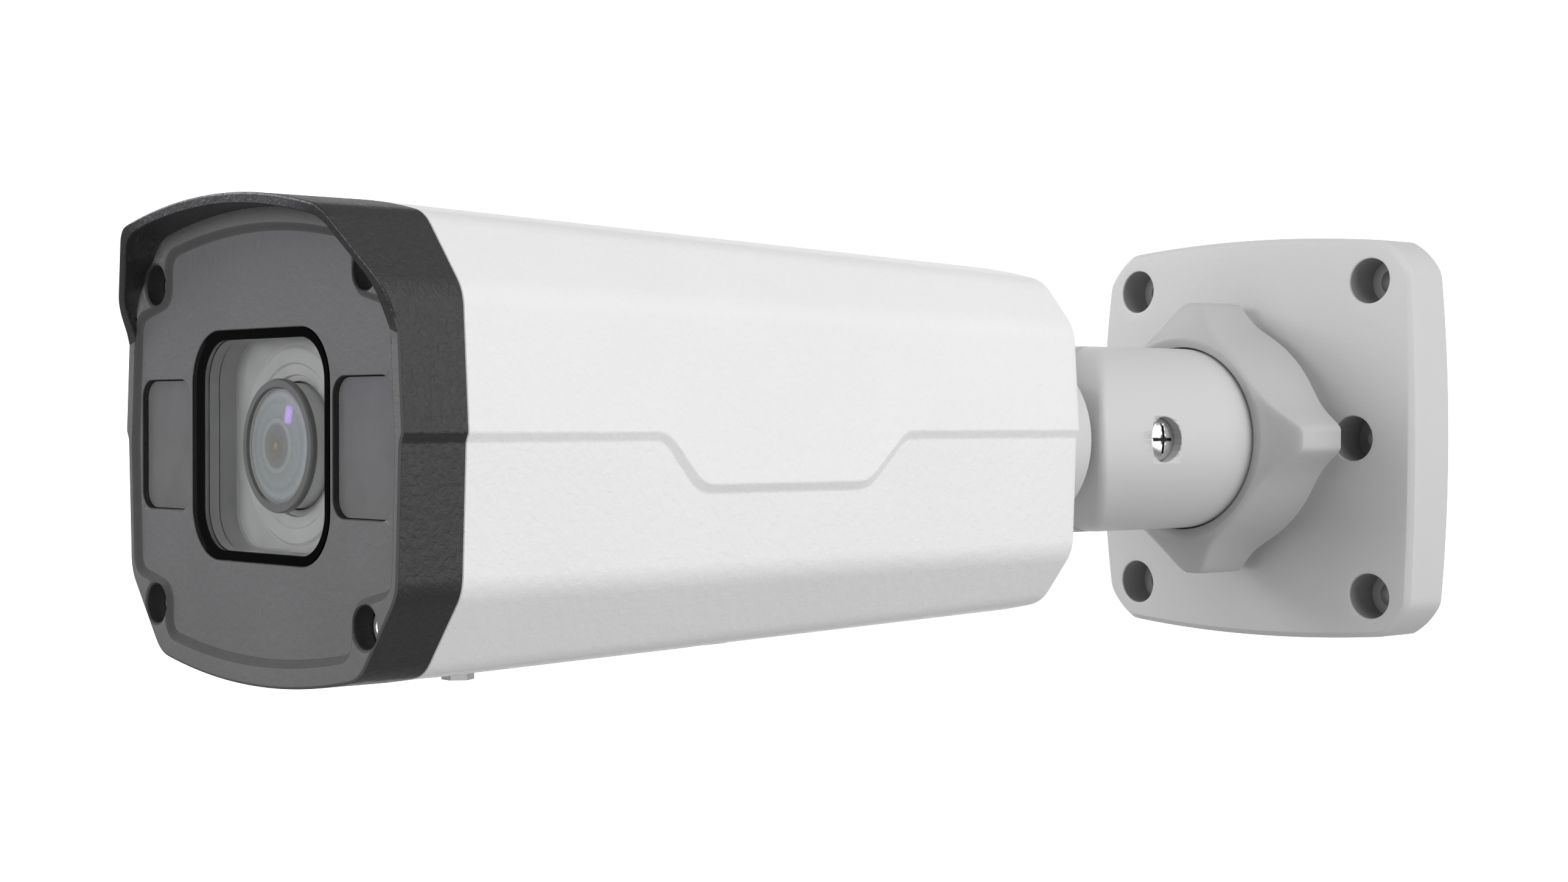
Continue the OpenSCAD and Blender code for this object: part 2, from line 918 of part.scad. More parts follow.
module processor() {
  color("black") block(-8, 8, 84, 100, board_z + sheet_t, -19.4);
}

module heat_pad() {
  color("lightpink") block(-8, 8, 84, 100, -19.4, chassis_z);
}

module power_board() {
  color("seagreen") difference() {
    block(-27, 27, 82, 122, -11, -9.4);
    power_board_places(-15) cylinder(r = 1.25, h = 20);
  }
}

module capacitors() {
  color("darkslategray") for (x = [-12, 0, 12]) translate([x, at(90), -9.4]) cylinder(r = 4, h = 11);
}

module network_transformer() {
  color("black") block(-9, 9, 102, 114, -9.4, -3.4);
}

module card_socket() {
  color("silver") difference() {
    block(-7, 7, 46.5, 61.5, -24, board_z);
    block(-5.8, 5.8, 46, 60.8, -23.5, -22.2);
  }
}

module memory_card() {
  color("black") block(-5.5, 5.5, 45.2, 60.2, -23.35, -22.35);
}

module reset_switch() {
  color("black") translate([12, at(44), 0]) difference() {
    translate([-3, -3, -25.4]) cube([6, 6, 25.4 + board_z]);
    translate([0, 0, -26]) cylinder(r = 1.75, h = 2.4);
  }
}

module reset_button() {
  color("red") translate([12, at(44), -26.6]) cylinder(r = 1.45, h = 2.2);
}

// ---- Service cover ----

cover_t = wall - gasket_t - 0.15;

module service_cover() {
  color("white") difference() {
    union() {
      intersection() {
        plan_prism(hatch_hw - gap, hatch[0] + gap, hatch[1] - gap, 3.2);
        difference() {
          body_form(0, narrow, seam, body_end);
          body_form(cover_t, narrow, 0, body_end);
        }
      }
      intersection() {
        cup_places(-45) cylinder(r = cup_r, h = 45 + cup_seat + cup_t);
        body_form(0, narrow, seam, body_end);
      }
    }
    cup_places(-45) cylinder(r = cup_r - 0.8, h = 45 + cup_seat);
    stud_places(-50) cylinder(r = 3.2, h = 14.9);
    stud_places(-50) cylinder(r = 1.6, h = 30);
    cup_places(-50) cylinder(r = 1.6, h = 30);
  }
}

module cover_gasket() {
  color("dimgray") difference() {
    intersection() {
      plan_prism(hatch_hw - 1, hatch[0] + 1, hatch[1] - 1, 3);
      difference() {
        body_form(cover_t + 0.05, narrow, seam, body_end);
        body_form(wall - 0.15, narrow, 0, body_end);
      }
    }
    plan_prism(bay_hw + 0.5, bay[0] - 0.5, bay[1] + 0.5, 3);
    stud_places(-50) cylinder(r = 1.8, h = 30);
    cup_places(-50) cylinder(r = cup_r + 0.5, h = 30);
  }
}

module cover_screws() {
  stud_seat = -35.1;
  color("silver") {
    stud_places(stud_seat) mirror([0, 0, 1]) {
      translate([0, 0, -7]) cylinder(r = 1.5, h = 7.1);
      cylinder(r = 2.6, h = 1.8, $fn = 6);
    }
    cup_places(cup_seat) mirror([0, 0, 1]) {
      translate([0, 0, -4]) cylinder(r = 1.5, h = 4.1);
      pan_head(3, 1.9, 1.1);
    }
  }
}

base_plate();
wall_gasket();
cable_grommet();
swivel_washer();
lock_ring();
arm();
pivot_washer();
pivot_screw();
neck();
neck_nut();
neck_washer();
neck_seal_ring();
cable_gland();
housing();
front_cover();
front_gasket();
front_screws();
window_glass();
window_mask();
window_gasket();
ir_window_left();
ir_window_right();
ir_reflector_left();
ir_reflector_right();
ir_board_left();
ir_board_right();
ir_leds_left();
ir_leds_right();
lens_shroud();
light_sensor();
front_lens_cell();
front_lens();
lens_barrel();
rear_lens();
zoom_ring();
focus_ring();
zoom_motor();
focus_motor();
zoom_pinion();
focus_pinion();
filter_holder();
filter_slide();
image_sensor();
sensor_board();
chassis();
chassis_screws();
main_board();
processor();
heat_pad();
board_screws();
power_board();
capacitors();
network_transformer();
card_socket();
memory_card();
reset_switch();
reset_button();
service_cover();
cover_gasket();
cover_screws();
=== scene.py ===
# Looks for the bullet security camera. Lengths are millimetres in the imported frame: -Y to the lens, +Z up.
import math
import bpy
import bmesh
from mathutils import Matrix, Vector
from mathutils.geometry import delaunay_2d_cdt


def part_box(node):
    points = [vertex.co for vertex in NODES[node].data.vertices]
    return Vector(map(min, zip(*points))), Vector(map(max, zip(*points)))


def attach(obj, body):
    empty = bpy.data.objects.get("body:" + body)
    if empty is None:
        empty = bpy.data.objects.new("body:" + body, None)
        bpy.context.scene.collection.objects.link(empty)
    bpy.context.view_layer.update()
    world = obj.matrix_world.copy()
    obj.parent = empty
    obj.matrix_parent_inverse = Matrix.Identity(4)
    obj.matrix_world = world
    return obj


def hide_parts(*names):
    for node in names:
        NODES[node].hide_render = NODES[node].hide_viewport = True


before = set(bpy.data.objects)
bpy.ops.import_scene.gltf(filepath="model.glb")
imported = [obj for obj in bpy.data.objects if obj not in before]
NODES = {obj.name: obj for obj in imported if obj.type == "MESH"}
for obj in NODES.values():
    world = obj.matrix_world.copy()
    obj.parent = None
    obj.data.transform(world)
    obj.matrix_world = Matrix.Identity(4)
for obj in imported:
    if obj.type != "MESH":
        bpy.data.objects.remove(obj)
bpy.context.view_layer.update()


def box_mm(node):
    low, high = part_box(node)
    return low * 1000, high * 1000


# ---- Driving sizes, from the frame where it holds them ----

BODY_LOW, BODY_HIGH = box_mm("housing")
COVER_LOW, _ = box_mm("front_cover")
SCREW_LOW, SCREW_HIGH = box_mm("pivot_screw")

SEAM = 11.5                               # depth of the dark front cover
FACE_Y = BODY_LOW.y - SEAM                # rim of the face
HOOD = FACE_Y - COVER_LOW.y - 0.001       # reach of the hood
BODY_END = BODY_HIGH.y - FACE_Y
HALF_W = BODY_HIGH.x                      # half width above the side step
STEP = 0.8                                # how far the side below the step stands back
STEP_TOP = 2.27                           # height of the step's upper edge near both ends
STEP_DIP = 8.5                            # how far it dips along the middle
STEP_FALL = 1.46                          # height of the step's bevel
CROWN, BELLY = 39.3, 37.9                 # top and bottom of the body at the seam
CROWN_R, BELLY_R = 135.0, 151.0
CROWN_FALL, BELLY_RISE = 4.9, 4.1         # how much the body tapers towards its rear
TOP_BEVEL = (39.9, 46.79, 0.0103)         # angle, distance from the axis, and its loss per mm of depth
LOW_BEVEL = (-37.9, 45.72, 0.00524)
DRAFT = 0.067                             # lean of the sides
WALL = 2.6
HATCH_SCREWS = (20.5, 72.5)               # service cover screws: to each side, and depth
HATCH = (24.5, 20.0, 78.0)                # service cover opening: half width, first and last depth

WINDOW_POCKET = (21.3, 18.5, 8.6)         # window pocket: half width, half height, corner radius
VIEW_HOLE = (18.6, 17.0, 7.0)             # opening behind the glass
IR_POCKET = (8.25, 10.75, 3.1)
IR_X = 30.4
SCREW_SPOTS = [(sx * 32.4, FACE_Y, sz * 26.6) for sx in (-1, 1) for sz in (-1, 1)]
PAD_DEPTH = 0.95
COVER_FLOOR = 4.6                         # depth of the rear of the cover's front wall
LENS_R = 9.1
CELL_FRONT = 4.4                          # depth of the lens cell's lip

PIVOT_Y = (SCREW_LOW.y + SCREW_HIGH.y) / 2
ARM_R = 19.55
ARM_REAR = -33.0
KNUCKLE_R = 19.85                         # round seat of one half of the knuckle in the other
NECK_REAR = -89.7
RING_REAR, RING_FRONT = -19.4, -38.1
RING_BORE = 21.66
PLATE_HALF = (43.5, 44.4)
PLATE_CORNER = 16.0
PLATE_OUT = 15.4                          # thickness at the crown of its domed front
PLATE_DOME, PLATE_BOW = 553.0, 364.0      # radii of its front and of its four edges
PLATE_WEB = -9.5                          # floor of the hollow back
BOSS_R = 21.6
WALL_SCREWS = [(sx * 32.3, sz * 34.0) for sx in (-1, 1) for sz in (-1, 1)] + [(-28.9, 0.0), (28.9, 0.0)]


def at(depth):
    return FACE_Y + depth


# ---- Mesh building ----

class Shell:
    """Collects rings of points and the faces between them."""

    def __init__(self):
        self.points = []
        self.faces = []
        self.tint = 0
        self.tints = []

    def add(self, *corners):
        self.faces.append(corners)
        self.tints.append(self.tint)

    def ring(self, points):
        start = len(self.points)
        self.points.extend(points)
        return list(range(start, len(self.points)))

    def bridge(self, a, b):
        for i in range(len(a)):
            j = (i + 1) % len(a)
            self.add(a[i], a[j], b[j], b[i])

    def chain(self, loops):
        for a, b in zip(loops, loops[1:]):
            self.bridge(a, b)

    def loft(self, rings):
        made = [self.ring(r) for r in rings]
        self.chain(made)
        return made

    def fill(self, outer, holes=(), flat=lambda p: (p[0], p[2]), inner=(), lift=None):
        """Fills between index loops. flat maps a point to 2D; inner adds 2D points that lift raises to 3D."""
        loops = [outer, *holes]
        ids = [i for loop in loops for i in loop]
        coords = [Vector(flat(self.points[i])) for i in ids]
        edges, base = [], 0
        for loop in loops:
            n = len(loop)
            edges += [(base + k, base + (k + 1) % n) for k in range(n)]
            base += n
        polys = [[Vector(flat(self.points[i])) for i in loop] for loop in loops]
        for p in inner:
            if inside(p, polys[0]) and not any(inside(p, q) for q in polys[1:]):
                coords.append(Vector(p))
                ids.append(self.ring([lift(*p)])[0])
        verts, _, faces, origin, _, _ = delaunay_2d_cdt(coords, edges, [], 0, 1e-5)
        lookup = [ids[o[0]] if o else None for o in origin]
        for face in faces:
            c = sum((verts[k] for k in face), Vector((0, 0))) / len(face)
            if inside(c, polys[0]) and not any(inside(c, q) for q in polys[1:]):
                if all(lookup[k] is not None for k in face):
                    self.add(*(lookup[k] for k in face))

    def build(self, name, materials, sharp=32):
        mesh = bpy.data.meshes.new(name)
        mesh.from_pydata([Vector(p) * 0.001 for p in self.points], [], self.faces)
        mesh.polygons.foreach_set("material_index", self.tints)
        bm = bmesh.new()
        bm.from_mesh(mesh)
        bmesh.ops.remove_doubles(bm, verts=bm.verts, dist=1e-7)
        bmesh.ops.dissolve_degenerate(bm, edges=bm.edges, dist=1e-8)
        bmesh.ops.recalc_face_normals(bm, faces=bm.faces)
        bm.to_mesh(mesh)
        bm.free()
        obj = bpy.data.objects.new(name, mesh)
        bpy.context.scene.collection.objects.link(obj)
        for material in materials:
            mesh.materials.append(material)
        smooth(obj, sharp)
        return obj


def inside(p, poly):
    hit = False
    j = len(poly) - 1
    for i, a in enumerate(poly):
        b = poly[j]
        if (a[1] > p[1]) != (b[1] > p[1]):
            if p[0] < (b[0] - a[0]) * (p[1] - a[1]) / (b[1] - a[1]) + a[0]:
                hit = not hit
        j = i
    return hit


def smooth(obj, angle):
    mesh = obj.data
    mesh.polygons.foreach_set("use_smooth", [True] * len(mesh.polygons))
    mesh.set_sharp_from_angle(angle=math.radians(angle))
    weigh = obj.modifiers.new("weighted_normals", "WEIGHTED_NORMAL")
    weigh.keep_sharp = True
    weigh.weight = 80


def resample(points, count):
    """The same line with a given number of evenly spaced points."""
    lengths = [0.0]
    for a, b in zip(points, points[1:]):
        lengths.append(lengths[-1] + math.dist(a, b))
    out, k = [], 0
    for i in range(count):
        s = lengths[-1] * i / (count - 1)
        while k < len(points) - 2 and lengths[k + 1] < s:
            k += 1
        span = lengths[k + 1] - lengths[k]
        t = (s - lengths[k]) / span if span > 1e-9 else 0
        a, b = points[k], points[k + 1]
        out.append(tuple(p + (q - p) * t for p, q in zip(a, b)))
    return out


def cut_ends(points, first, last):
    """A line shortened by given lengths at its ends."""
    def trim(line, length):
        line = list(line)
        while len(line) > 2 and math.dist(line[0], line[1]) < length:
            length -= math.dist(line[0], line[1])
            line.pop(0)
        span = math.dist(line[0], line[1])
        t = min(length / span, 0.95) if span > 1e-9 else 0
        line[0] = tuple(p + (q - p) * t for p, q in zip(line[0], line[1]))
        return line
    if first > 0:
        points = trim(points, first)
    if last > 0:
        points = trim(points[::-1], last)[::-1]
    return points


def round_chain(parts, trims, counts, corner=6):
    """Joins lines end to end, rounding each joint with a curve that starts trims[i] away from it."""
    out = []
    for i, part in enumerate(parts):
        start = trims[i - 1] if i else 0
        end = trims[i] if i < len(trims) else 0
        line = resample(cut_ends(part, start, end), counts[i])
        if i:
            a, mid, b = out[-1], part[0], line[0]
            for k in range(1, corner):
                t = k / corner
                weights = ((1 - t) ** 2, 2 * t * (1 - t), t * t)
                out.append(tuple(sum(w * c for w, c in zip(weights, three)) for three in zip(a, mid, b)))
        out.extend(line)
    return out


def offset_loop(loop, amount):
    """A closed 2D loop moved inwards (positive) along its normals, with mitred corners."""
    n = len(loop)
    area = sum(a[0] * b[1] - b[0] * a[1] for a, b in zip(loop, loop[1:] + loop[:1]))
    turn = 1 if area > 0 else -1
    out = []
    for i in range(n):
        a, b, c = Vector(loop[i - 1]), Vector(loop[i]), Vector(loop[(i + 1) % n])
        d0, d1 = (b - a).normalized(), (c - b).normalized()
        n0, n1 = Vector((-d0.y, d0.x)) * turn, Vector((-d1.y, d1.x)) * turn
        m = n0 + n1
        m = m / max(m.dot(n0), 0.6) if m.length > 1e-6 else n0
        out.append(tuple(b + m * amount))
    return out


def circle_loop(r, count, x=0.0, z=0.0):
    angles = [2 * math.pi * i / count for i in range(count)]
    return [(x + r * math.cos(a), z + r * math.sin(a)) for a in angles]


def rounded_rect(hx, hz, r, corner=12, x=0.0, z=0.0):
    out = []
    for sx, sz, start in ((1, 1, 0), (-1, 1, 90), (-1, -1, 180), (1, -1, 270)):
        for k in range(corner + 1):
            a = math.radians(start + 90 * k / corner)
            out.append((x + sx * (hx - r) + r * math.cos(a), z + sz * (hz - r) + r * math.sin(a)))
    return out


def upright(loop, y):
    return [(x, y, z) for x, z in loop]


def faced(loop, depth):
    """A 2D loop set at a depth behind the face's rim."""
    return upright(loop, at(depth))


def fillet_steps(r, count=4):
    """Inset and setback along a rounded edge."""
    angles = [math.pi / 2 * k / count for k in range(count + 1)]
    return [(r * (1 - math.sin(a)), r * (1 - math.cos(a))) for a in angles]


# ---- Materials ----

def new_material(name):
    material = bpy.data.materials.new(name)
    material.use_nodes = True
    return material, material.node_tree.nodes, material.node_tree.links


def link_noise(nodes, links, scale, detail, rough=0.5, stretch=None):
    place = nodes.new("ShaderNodeTexCoord")
    noise = nodes.new("ShaderNodeTexNoise")
    noise.inputs["Scale"].default_value = scale
    noise.inputs["Detail"].default_value = detail
    noise.inputs["Roughness"].default_value = rough
    source = place.outputs["Object"]
    if stretch:
        mapping = nodes.new("ShaderNodeMapping")
        mapping.inputs["Scale"].default_value = stretch
        links.new(source, mapping.inputs["Vector"])
        source = mapping.outputs["Vector"]
    links.new(source, noise.inputs["Vector"])
    return noise


def ramp(nodes, links, source, stops):
    node = nodes.new("ShaderNodeValToRGB")
    while len(node.color_ramp.elements) < len(stops):
        node.color_ramp.elements.new(0.5)
    for element, (place, colour) in zip(node.color_ramp.elements, stops):
        element.position = place
        element.color = (*colour, 1)
    links.new(source, node.inputs["Fac"])
    return node


def grey(v):
    return (v, v, v)


def mottled(colour, spread):
    """Ramp stops from a slightly darker to a slightly lighter tone of a colour."""
    darker = tuple(c * (1 - spread) for c in colour)
    lighter = tuple(min(1, c * (1 + spread)) for c in colour)
    return [(0.3, darker), (0.7, lighter)]


def painted(name, colour, rough, grain_mm, depth_mm, spread=0.04, specular=0.5):
    """Powder-coated metal: a wrinkle of fine folds, a slight mottle, and roughness that follows it."""
    material, nodes, links = new_material(name)
    shader = nodes["Principled BSDF"]
    shader.inputs["Specular IOR Level"].default_value = specular
    fold = link_noise(nodes, links, 1000 / grain_mm, 2.5, 0.55)
    fold.inputs["Distortion"].default_value = 0.9
    pebble = nodes.new("ShaderNodeTexVoronoi")
    pebble.feature = "SMOOTH_F1"
    pebble.inputs["Scale"].default_value = 700 / grain_mm
    place = nodes.new("ShaderNodeTexCoord")
    links.new(place.outputs["Object"], pebble.inputs["Vector"])
    height = nodes.new("ShaderNodeMix")
    height.data_type = "FLOAT"
    height.inputs["Factor"].default_value = 0.35
    links.new(fold.outputs["Fac"], height.inputs["A"])
    links.new(pebble.outputs["Distance"], height.inputs["B"])
    bump = nodes.new("ShaderNodeBump")
    bump.inputs["Strength"].default_value = 1.0
    bump.inputs["Distance"].default_value = depth_mm / 1000
    links.new(height.outputs["Result"], bump.inputs["Height"])
    links.new(bump.outputs["Normal"], shader.inputs["Normal"])
    mottle = link_noise(nodes, links, 40, 3)
    tone = ramp(nodes, links, mottle.outputs["Fac"], mottled(colour, spread))
    links.new(tone.outputs["Color"], shader.inputs["Base Color"])
    sheen = ramp(nodes, links, fold.outputs["Fac"], [(0.3, grey(rough - 0.05)), (0.7, grey(rough + 0.07))])
    links.new(sheen.outputs["Color"], shader.inputs["Roughness"])
    return material


def moulded(name, colour, rough, grain_mm=0.15, depth_mm=0.01, metallic=0.0, spread=0.06, coat=0.0):
    """Moulded plastic, rubber or plain metal with a fine grain."""
    material, nodes, links = new_material(name)
    shader = nodes["Principled BSDF"]
    shader.inputs["Metallic"].default_value = metallic
    shader.inputs["Coat Weight"].default_value = coat
    grain = link_noise(nodes, links, 1000 / grain_mm, 2)
    bump = nodes.new("ShaderNodeBump")
    bump.inputs["Distance"].default_value = depth_mm / 1000
    links.new(grain.outputs["Fac"], bump.inputs["Height"])
    links.new(bump.outputs["Normal"], shader.inputs["Normal"])
    cloud = link_noise(nodes, links, 150, 3)
    tone = ramp(nodes, links, cloud.outputs["Fac"], mottled(colour, spread))
    links.new(tone.outputs["Color"], shader.inputs["Base Color"])
    gloss = ramp(nodes, links, cloud.outputs["Fac"], [
        (0.3, grey(max(rough - 0.04, 0.02))), (0.7, grey(rough + 0.04))])
    links.new(gloss.outputs["Color"], shader.inputs["Roughness"])
    return material


def brushed(name, colour, rough, stretch):
    """Metal with fine lines running across the stretched axis."""
    material, nodes, links = new_material(name)
    shader = nodes["Principled BSDF"]
    shader.inputs["Metallic"].default_value = 1.0
    lines = link_noise(nodes, links, 900, 4, 0.6, stretch)
    bump = nodes.new("ShaderNodeBump")
    bump.inputs["Strength"].default_value = 0.35
    bump.inputs["Distance"].default_value = 0.00001
    links.new(lines.outputs["Fac"], bump.inputs["Height"])
    links.new(bump.outputs["Normal"], shader.inputs["Normal"])
    tone = ramp(nodes, links, lines.outputs["Fac"], [
        (0.3, tuple(c * 0.88 for c in colour)), (0.7, colour)])
    links.new(tone.outputs["Color"], shader.inputs["Base Color"])
    gloss = ramp(nodes, links, lines.outputs["Fac"], [(0.3, grey(rough)), (0.7, grey(rough + 0.12))])
    links.new(gloss.outputs["Color"], shader.inputs["Roughness"])
    return material


def glass(name, colour, ior):
    """Clear glass with a barely uneven tone."""
    material, nodes, links = new_material(name)
    shader = nodes["Principled BSDF"]
    haze = link_noise(nodes, links, 90, 2)
    tone = ramp(nodes, links, haze.outputs["Fac"], [(0.35, tuple(c * 0.99 for c in colour)), (0.65, colour)])
    links.new(tone.outputs["Color"], shader.inputs["Base Color"])
    shader.inputs["Roughness"].default_value = 0.0
    shader.inputs["IOR"].default_value = ior
    shader.inputs["Transmission Weight"].default_value = 1.0
    return material


def coated_lens():
    """The lens from the front: pale rings painted as reflections of the inner glass, round a small dark iris
    painted as the shade inside, under a hard coating.
    """
    material, nodes, links = new_material("lens_glass")
    shader = nodes["Principled BSDF"]
    shader.inputs["Roughness"].default_value = 0.35
    shader.inputs["Coat Weight"].default_value = 1.0
    shader.inputs["Coat Roughness"].default_value = 0.04
    place = nodes.new("ShaderNodeTexCoord")
    flat = nodes.new("ShaderNodeVectorMath")
    flat.operation = "MULTIPLY"
    flat.inputs[1].default_value = (1, 0, 1)
    links.new(place.outputs["Object"], flat.inputs[0])
    span = nodes.new("ShaderNodeVectorMath")
    span.operation = "LENGTH"
    links.new(flat.outputs["Vector"], span.inputs[0])
    share = nodes.new("ShaderNodeMath")
    share.operation = "DIVIDE"
    share.inputs[1].default_value = LENS_R / 1000
    links.new(span.outputs["Value"], share.inputs[0])
    # painted reflection: bright bands for the inner glass, with a dark middle as painted shade inside the
    # lens
    rings = ramp(nodes, links, share.outputs["Value"], [
        (0.0, (0.6, 0.36, 0.2)), (0.04, (0.34, 0.25, 0.18)), (0.09, (0.2, 0.185, 0.165)),
        (0.2, (0.2, 0.2, 0.195)), (0.38, (0.225, 0.23, 0.23)), (0.41, (0.33, 0.345, 0.345)),
        (0.46, (0.35, 0.365, 0.365)), (0.5, (0.28, 0.3, 0.3)), (0.7, (0.31, 0.335, 0.345)),
        (0.78, (0.28, 0.3, 0.305)), (0.9, (0.36, 0.38, 0.4)), (1.0, (0.2, 0.2, 0.2))])
    specks = link_noise(nodes, links, 1600, 2)
    tone = nodes.new("ShaderNodeHueSaturation")
    links.new(rings.outputs["Color"], tone.inputs["Color"])
    shade = ramp(nodes, links, specks.outputs["Fac"], [(0.35, grey(0.95)), (0.65, grey(1.04))])
    links.new(shade.outputs["Color"], tone.inputs["Value"])
    links.new(tone.outputs["Color"], shader.inputs["Base Color"])
    return material


WHITE_PAINT = painted("white_paint", grey(0.9), 0.42, 1.1, 0.16, 0.01)
BRACKET_PAINT = painted("bracket_paint", grey(0.67), 0.46, 0.7, 0.06, 0.01)
RING_PAINT = painted("lock_ring_paint", grey(0.55), 0.46, 0.7, 0.06, 0.01)
# a darker copy of the face paint with little sheen for the slopes round the pad: painted shade
SHADED_STEP_PAINT = painted("step_shade_paint", grey(0.085), 0.8, 1.1, 0.1, 0.05, 0.15)
# darker paint inside the plate's screw pockets and the arm's screw recess: painted shade
BORE_SHADE = painted("bore_shade_paint", grey(0.35), 0.6, 0.6, 0.03, 0.05)
# near-black paint in the cover's screw counterbores and the pivot screw's cross recess: painted shade
SHADE = painted("counterbore_shade_paint", grey(0.02), 0.6, 0.6, 0.03, 0.05)
DARK_PAINT = painted("dark_paint", (0.02, 0.02, 0.0205), 0.44, 0.85, 0.22, 0.06)
# a lighter copy of the dark cover paint: painted light on the faces looking straight ahead
LIT_FACE_PAINT = painted("face_lit_paint", (0.121, 0.121, 0.122), 0.5, 1.1, 0.16, 0.05)
RUBBER = moulded("rubber", grey(0.02), 0.7, 0.3, 0.02)
MASK = moulded("mask_print", grey(0.0005), 0.9)
IR_PLASTIC = moulded("ir_plastic", (0.137, 0.139, 0.139), 0.3, 0.4, 0.004)
SHROUD = moulded("shroud_plastic", grey(0.38), 0.55, 0.3, 0.01)
SHROUD_WALL = moulded("shroud_wall", grey(0.42), 0.6, 0.3, 0.01)
SHROUD_DISC = moulded("shroud_disc", grey(0.43), 0.5, 0.3, 0.01)
# a pale sleeve colour raised further as painted light, to lift the shade it sits in
PALE_LIT_CELL = moulded("cell_plastic_pale_and_lit", grey(0.8), 0.4, 0.25, 0.008)
LIP = moulded("lip_plastic", grey(0.14), 0.4, 0.25, 0.008)
BLACK_PLASTIC = moulded("black_plastic", grey(0.02), 0.4, 0.25, 0.01)
CHROME = moulded("chrome", grey(0.88), 0.24, 0.5, 0.002, 1.0)
BRIGHT = moulded("bright_steel", grey(0.9), 0.3, 0.5, 0.003, 0.8)
STEEL = brushed("steel", grey(0.6), 0.28, (1, 12, 1))
REFLECTOR = moulded("reflector", grey(0.8), 0.12, 0.5, 0.002, 1.0)
BOARD = moulded("board", (0.02, 0.12, 0.05), 0.35, 0.6, 0.02, 0, 0.2, 0.3)
LED = moulded("led_resin", (0.75, 0.7, 0.35), 0.15)
GEAR = moulded("gear_plastic", (0.8, 0.77, 0.68), 0.45)
FILTER = moulded("filter_tint", (0.2, 0.02, 0.03), 0.1, coat=0.5)
DIE = moulded("sensor_die", (0.06, 0.05, 0.14), 0.15, coat=0.5)
SHEET = brushed("chassis_sheet", grey(0.72), 0.35, (10, 1, 1))
PAD = moulded("heat_pad", (0.7, 0.42, 0.5), 0.8)
CAN = moulded("can", (0.04, 0.05, 0.09), 0.3, metallic=0.3)
RED = moulded("button_red", (0.45, 0.02, 0.02), 0.35)
WINDOW = glass("window_glass", (0.985, 0.99, 0.985), 1.12)
LENS = coated_lens()

CAD_LOOKS = {
    RUBBER: ("wall_gasket", "cable_grommet", "neck_seal_ring", "front_gasket", "cover_gasket"),
    SHROUD_WALL: ("window_gasket",),
    CHROME: ("cover_screws",),
    STEEL: ("swivel_washer", "pivot_washer", "neck_nut", "neck_washer", "chassis_screws", "board_screws",
            "zoom_motor", "focus_motor", "card_socket"),
    WINDOW: ("window_glass",),
    LENS: ("front_lens", "rear_lens"),
    MASK: ("window_mask",),
    IR_PLASTIC: ("ir_window_left", "ir_window_right"),
    SHROUD: ("lens_shroud",),
    BLACK_PLASTIC: ("cable_gland", "light_sensor", "front_lens_cell", "lens_barrel", "filter_holder",
                    "processor", "network_transformer", "memory_card", "reset_switch", "zoom_ring",
                    "focus_ring"),
    REFLECTOR: ("ir_reflector_left", "ir_reflector_right"),
    BOARD: ("ir_board_left", "ir_board_right", "sensor_board", "main_board", "power_board"),
    LED: ("ir_leds_left", "ir_leds_right"),
    GEAR: ("zoom_pinion", "focus_pinion"),
    FILTER: ("filter_slide",),
    DIE: ("image_sensor",),
    SHEET: ("chassis",),
    PAD: ("heat_pad",),
    CAN: ("capacitors",),
    RED: ("reset_button",),
    WHITE_PAINT: ("service_cover",),
    BRACKET_PAINT: ("neck",),
}
for look, names in CAD_LOOKS.items():
    for node_name in names:
        piece = NODES[node_name]
        piece.data.materials.clear()
        piece.data.materials.append(look)


def stand_for(obj, node, body):
    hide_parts(node)
    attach(obj, body)


# ---- Body section ----

def crown_z(x, t):
    return CROWN - CROWN_FALL * t - CROWN_R + math.sqrt(CROWN_R ** 2 - x * x)


def belly_z(x, t):
    return -BELLY + BELLY_RISE * t + BELLY_R - math.sqrt(BELLY_R ** 2 - x * x)


def meet(curve, line, low, high):
    """Where a curve z(x) crosses a bevel line, by halving the interval."""
    for _ in range(40):
        mid = (low + high) / 2
        if line(mid, curve(mid)) > 0:
            high = mid
        else:
            low = mid
    return mid, curve(mid)


def bevel_line(angle, distance):
    a = math.radians(angle)
    return lambda x, z: x * math.cos(a) + z * math.sin(a) - distance


def bevel_side(angle, distance, half_w):
    """Where a bevel meets the drafted side."""
    a = math.radians(angle)
    z = 20.0 if angle > 0 else -20.0
    for _ in range(30):
        z = (distance - side_x(half_w, z) * math.cos(a)) / math.sin(a)
    return side_x(half_w, z), z


def side_x(half_w, z):
    return half_w - (DRAFT * z if z > 0 else -0.7 * DRAFT * z)


def step_height(depth):
    """Upper edge of the side step, which dips along the middle of the body."""
    def raw(d):
        knots = ((49.5, 0.0), (57.0, -STEP_DIP), (93.3, -STEP_DIP), (102.0, 0.0))
        if d <= knots[0][0] or d >= knots[-1][0]:
            return 0.0
        for (a, u), (b, v) in zip(knots, knots[1:]):
            if a <= d <= b:
                return u + (v - u) * (d - a) / (b - a)
    window = [depth + 1.9 * k / 8 for k in range(-8, 9)]
    return STEP_TOP + sum(raw(d) for d in window) / len(window)


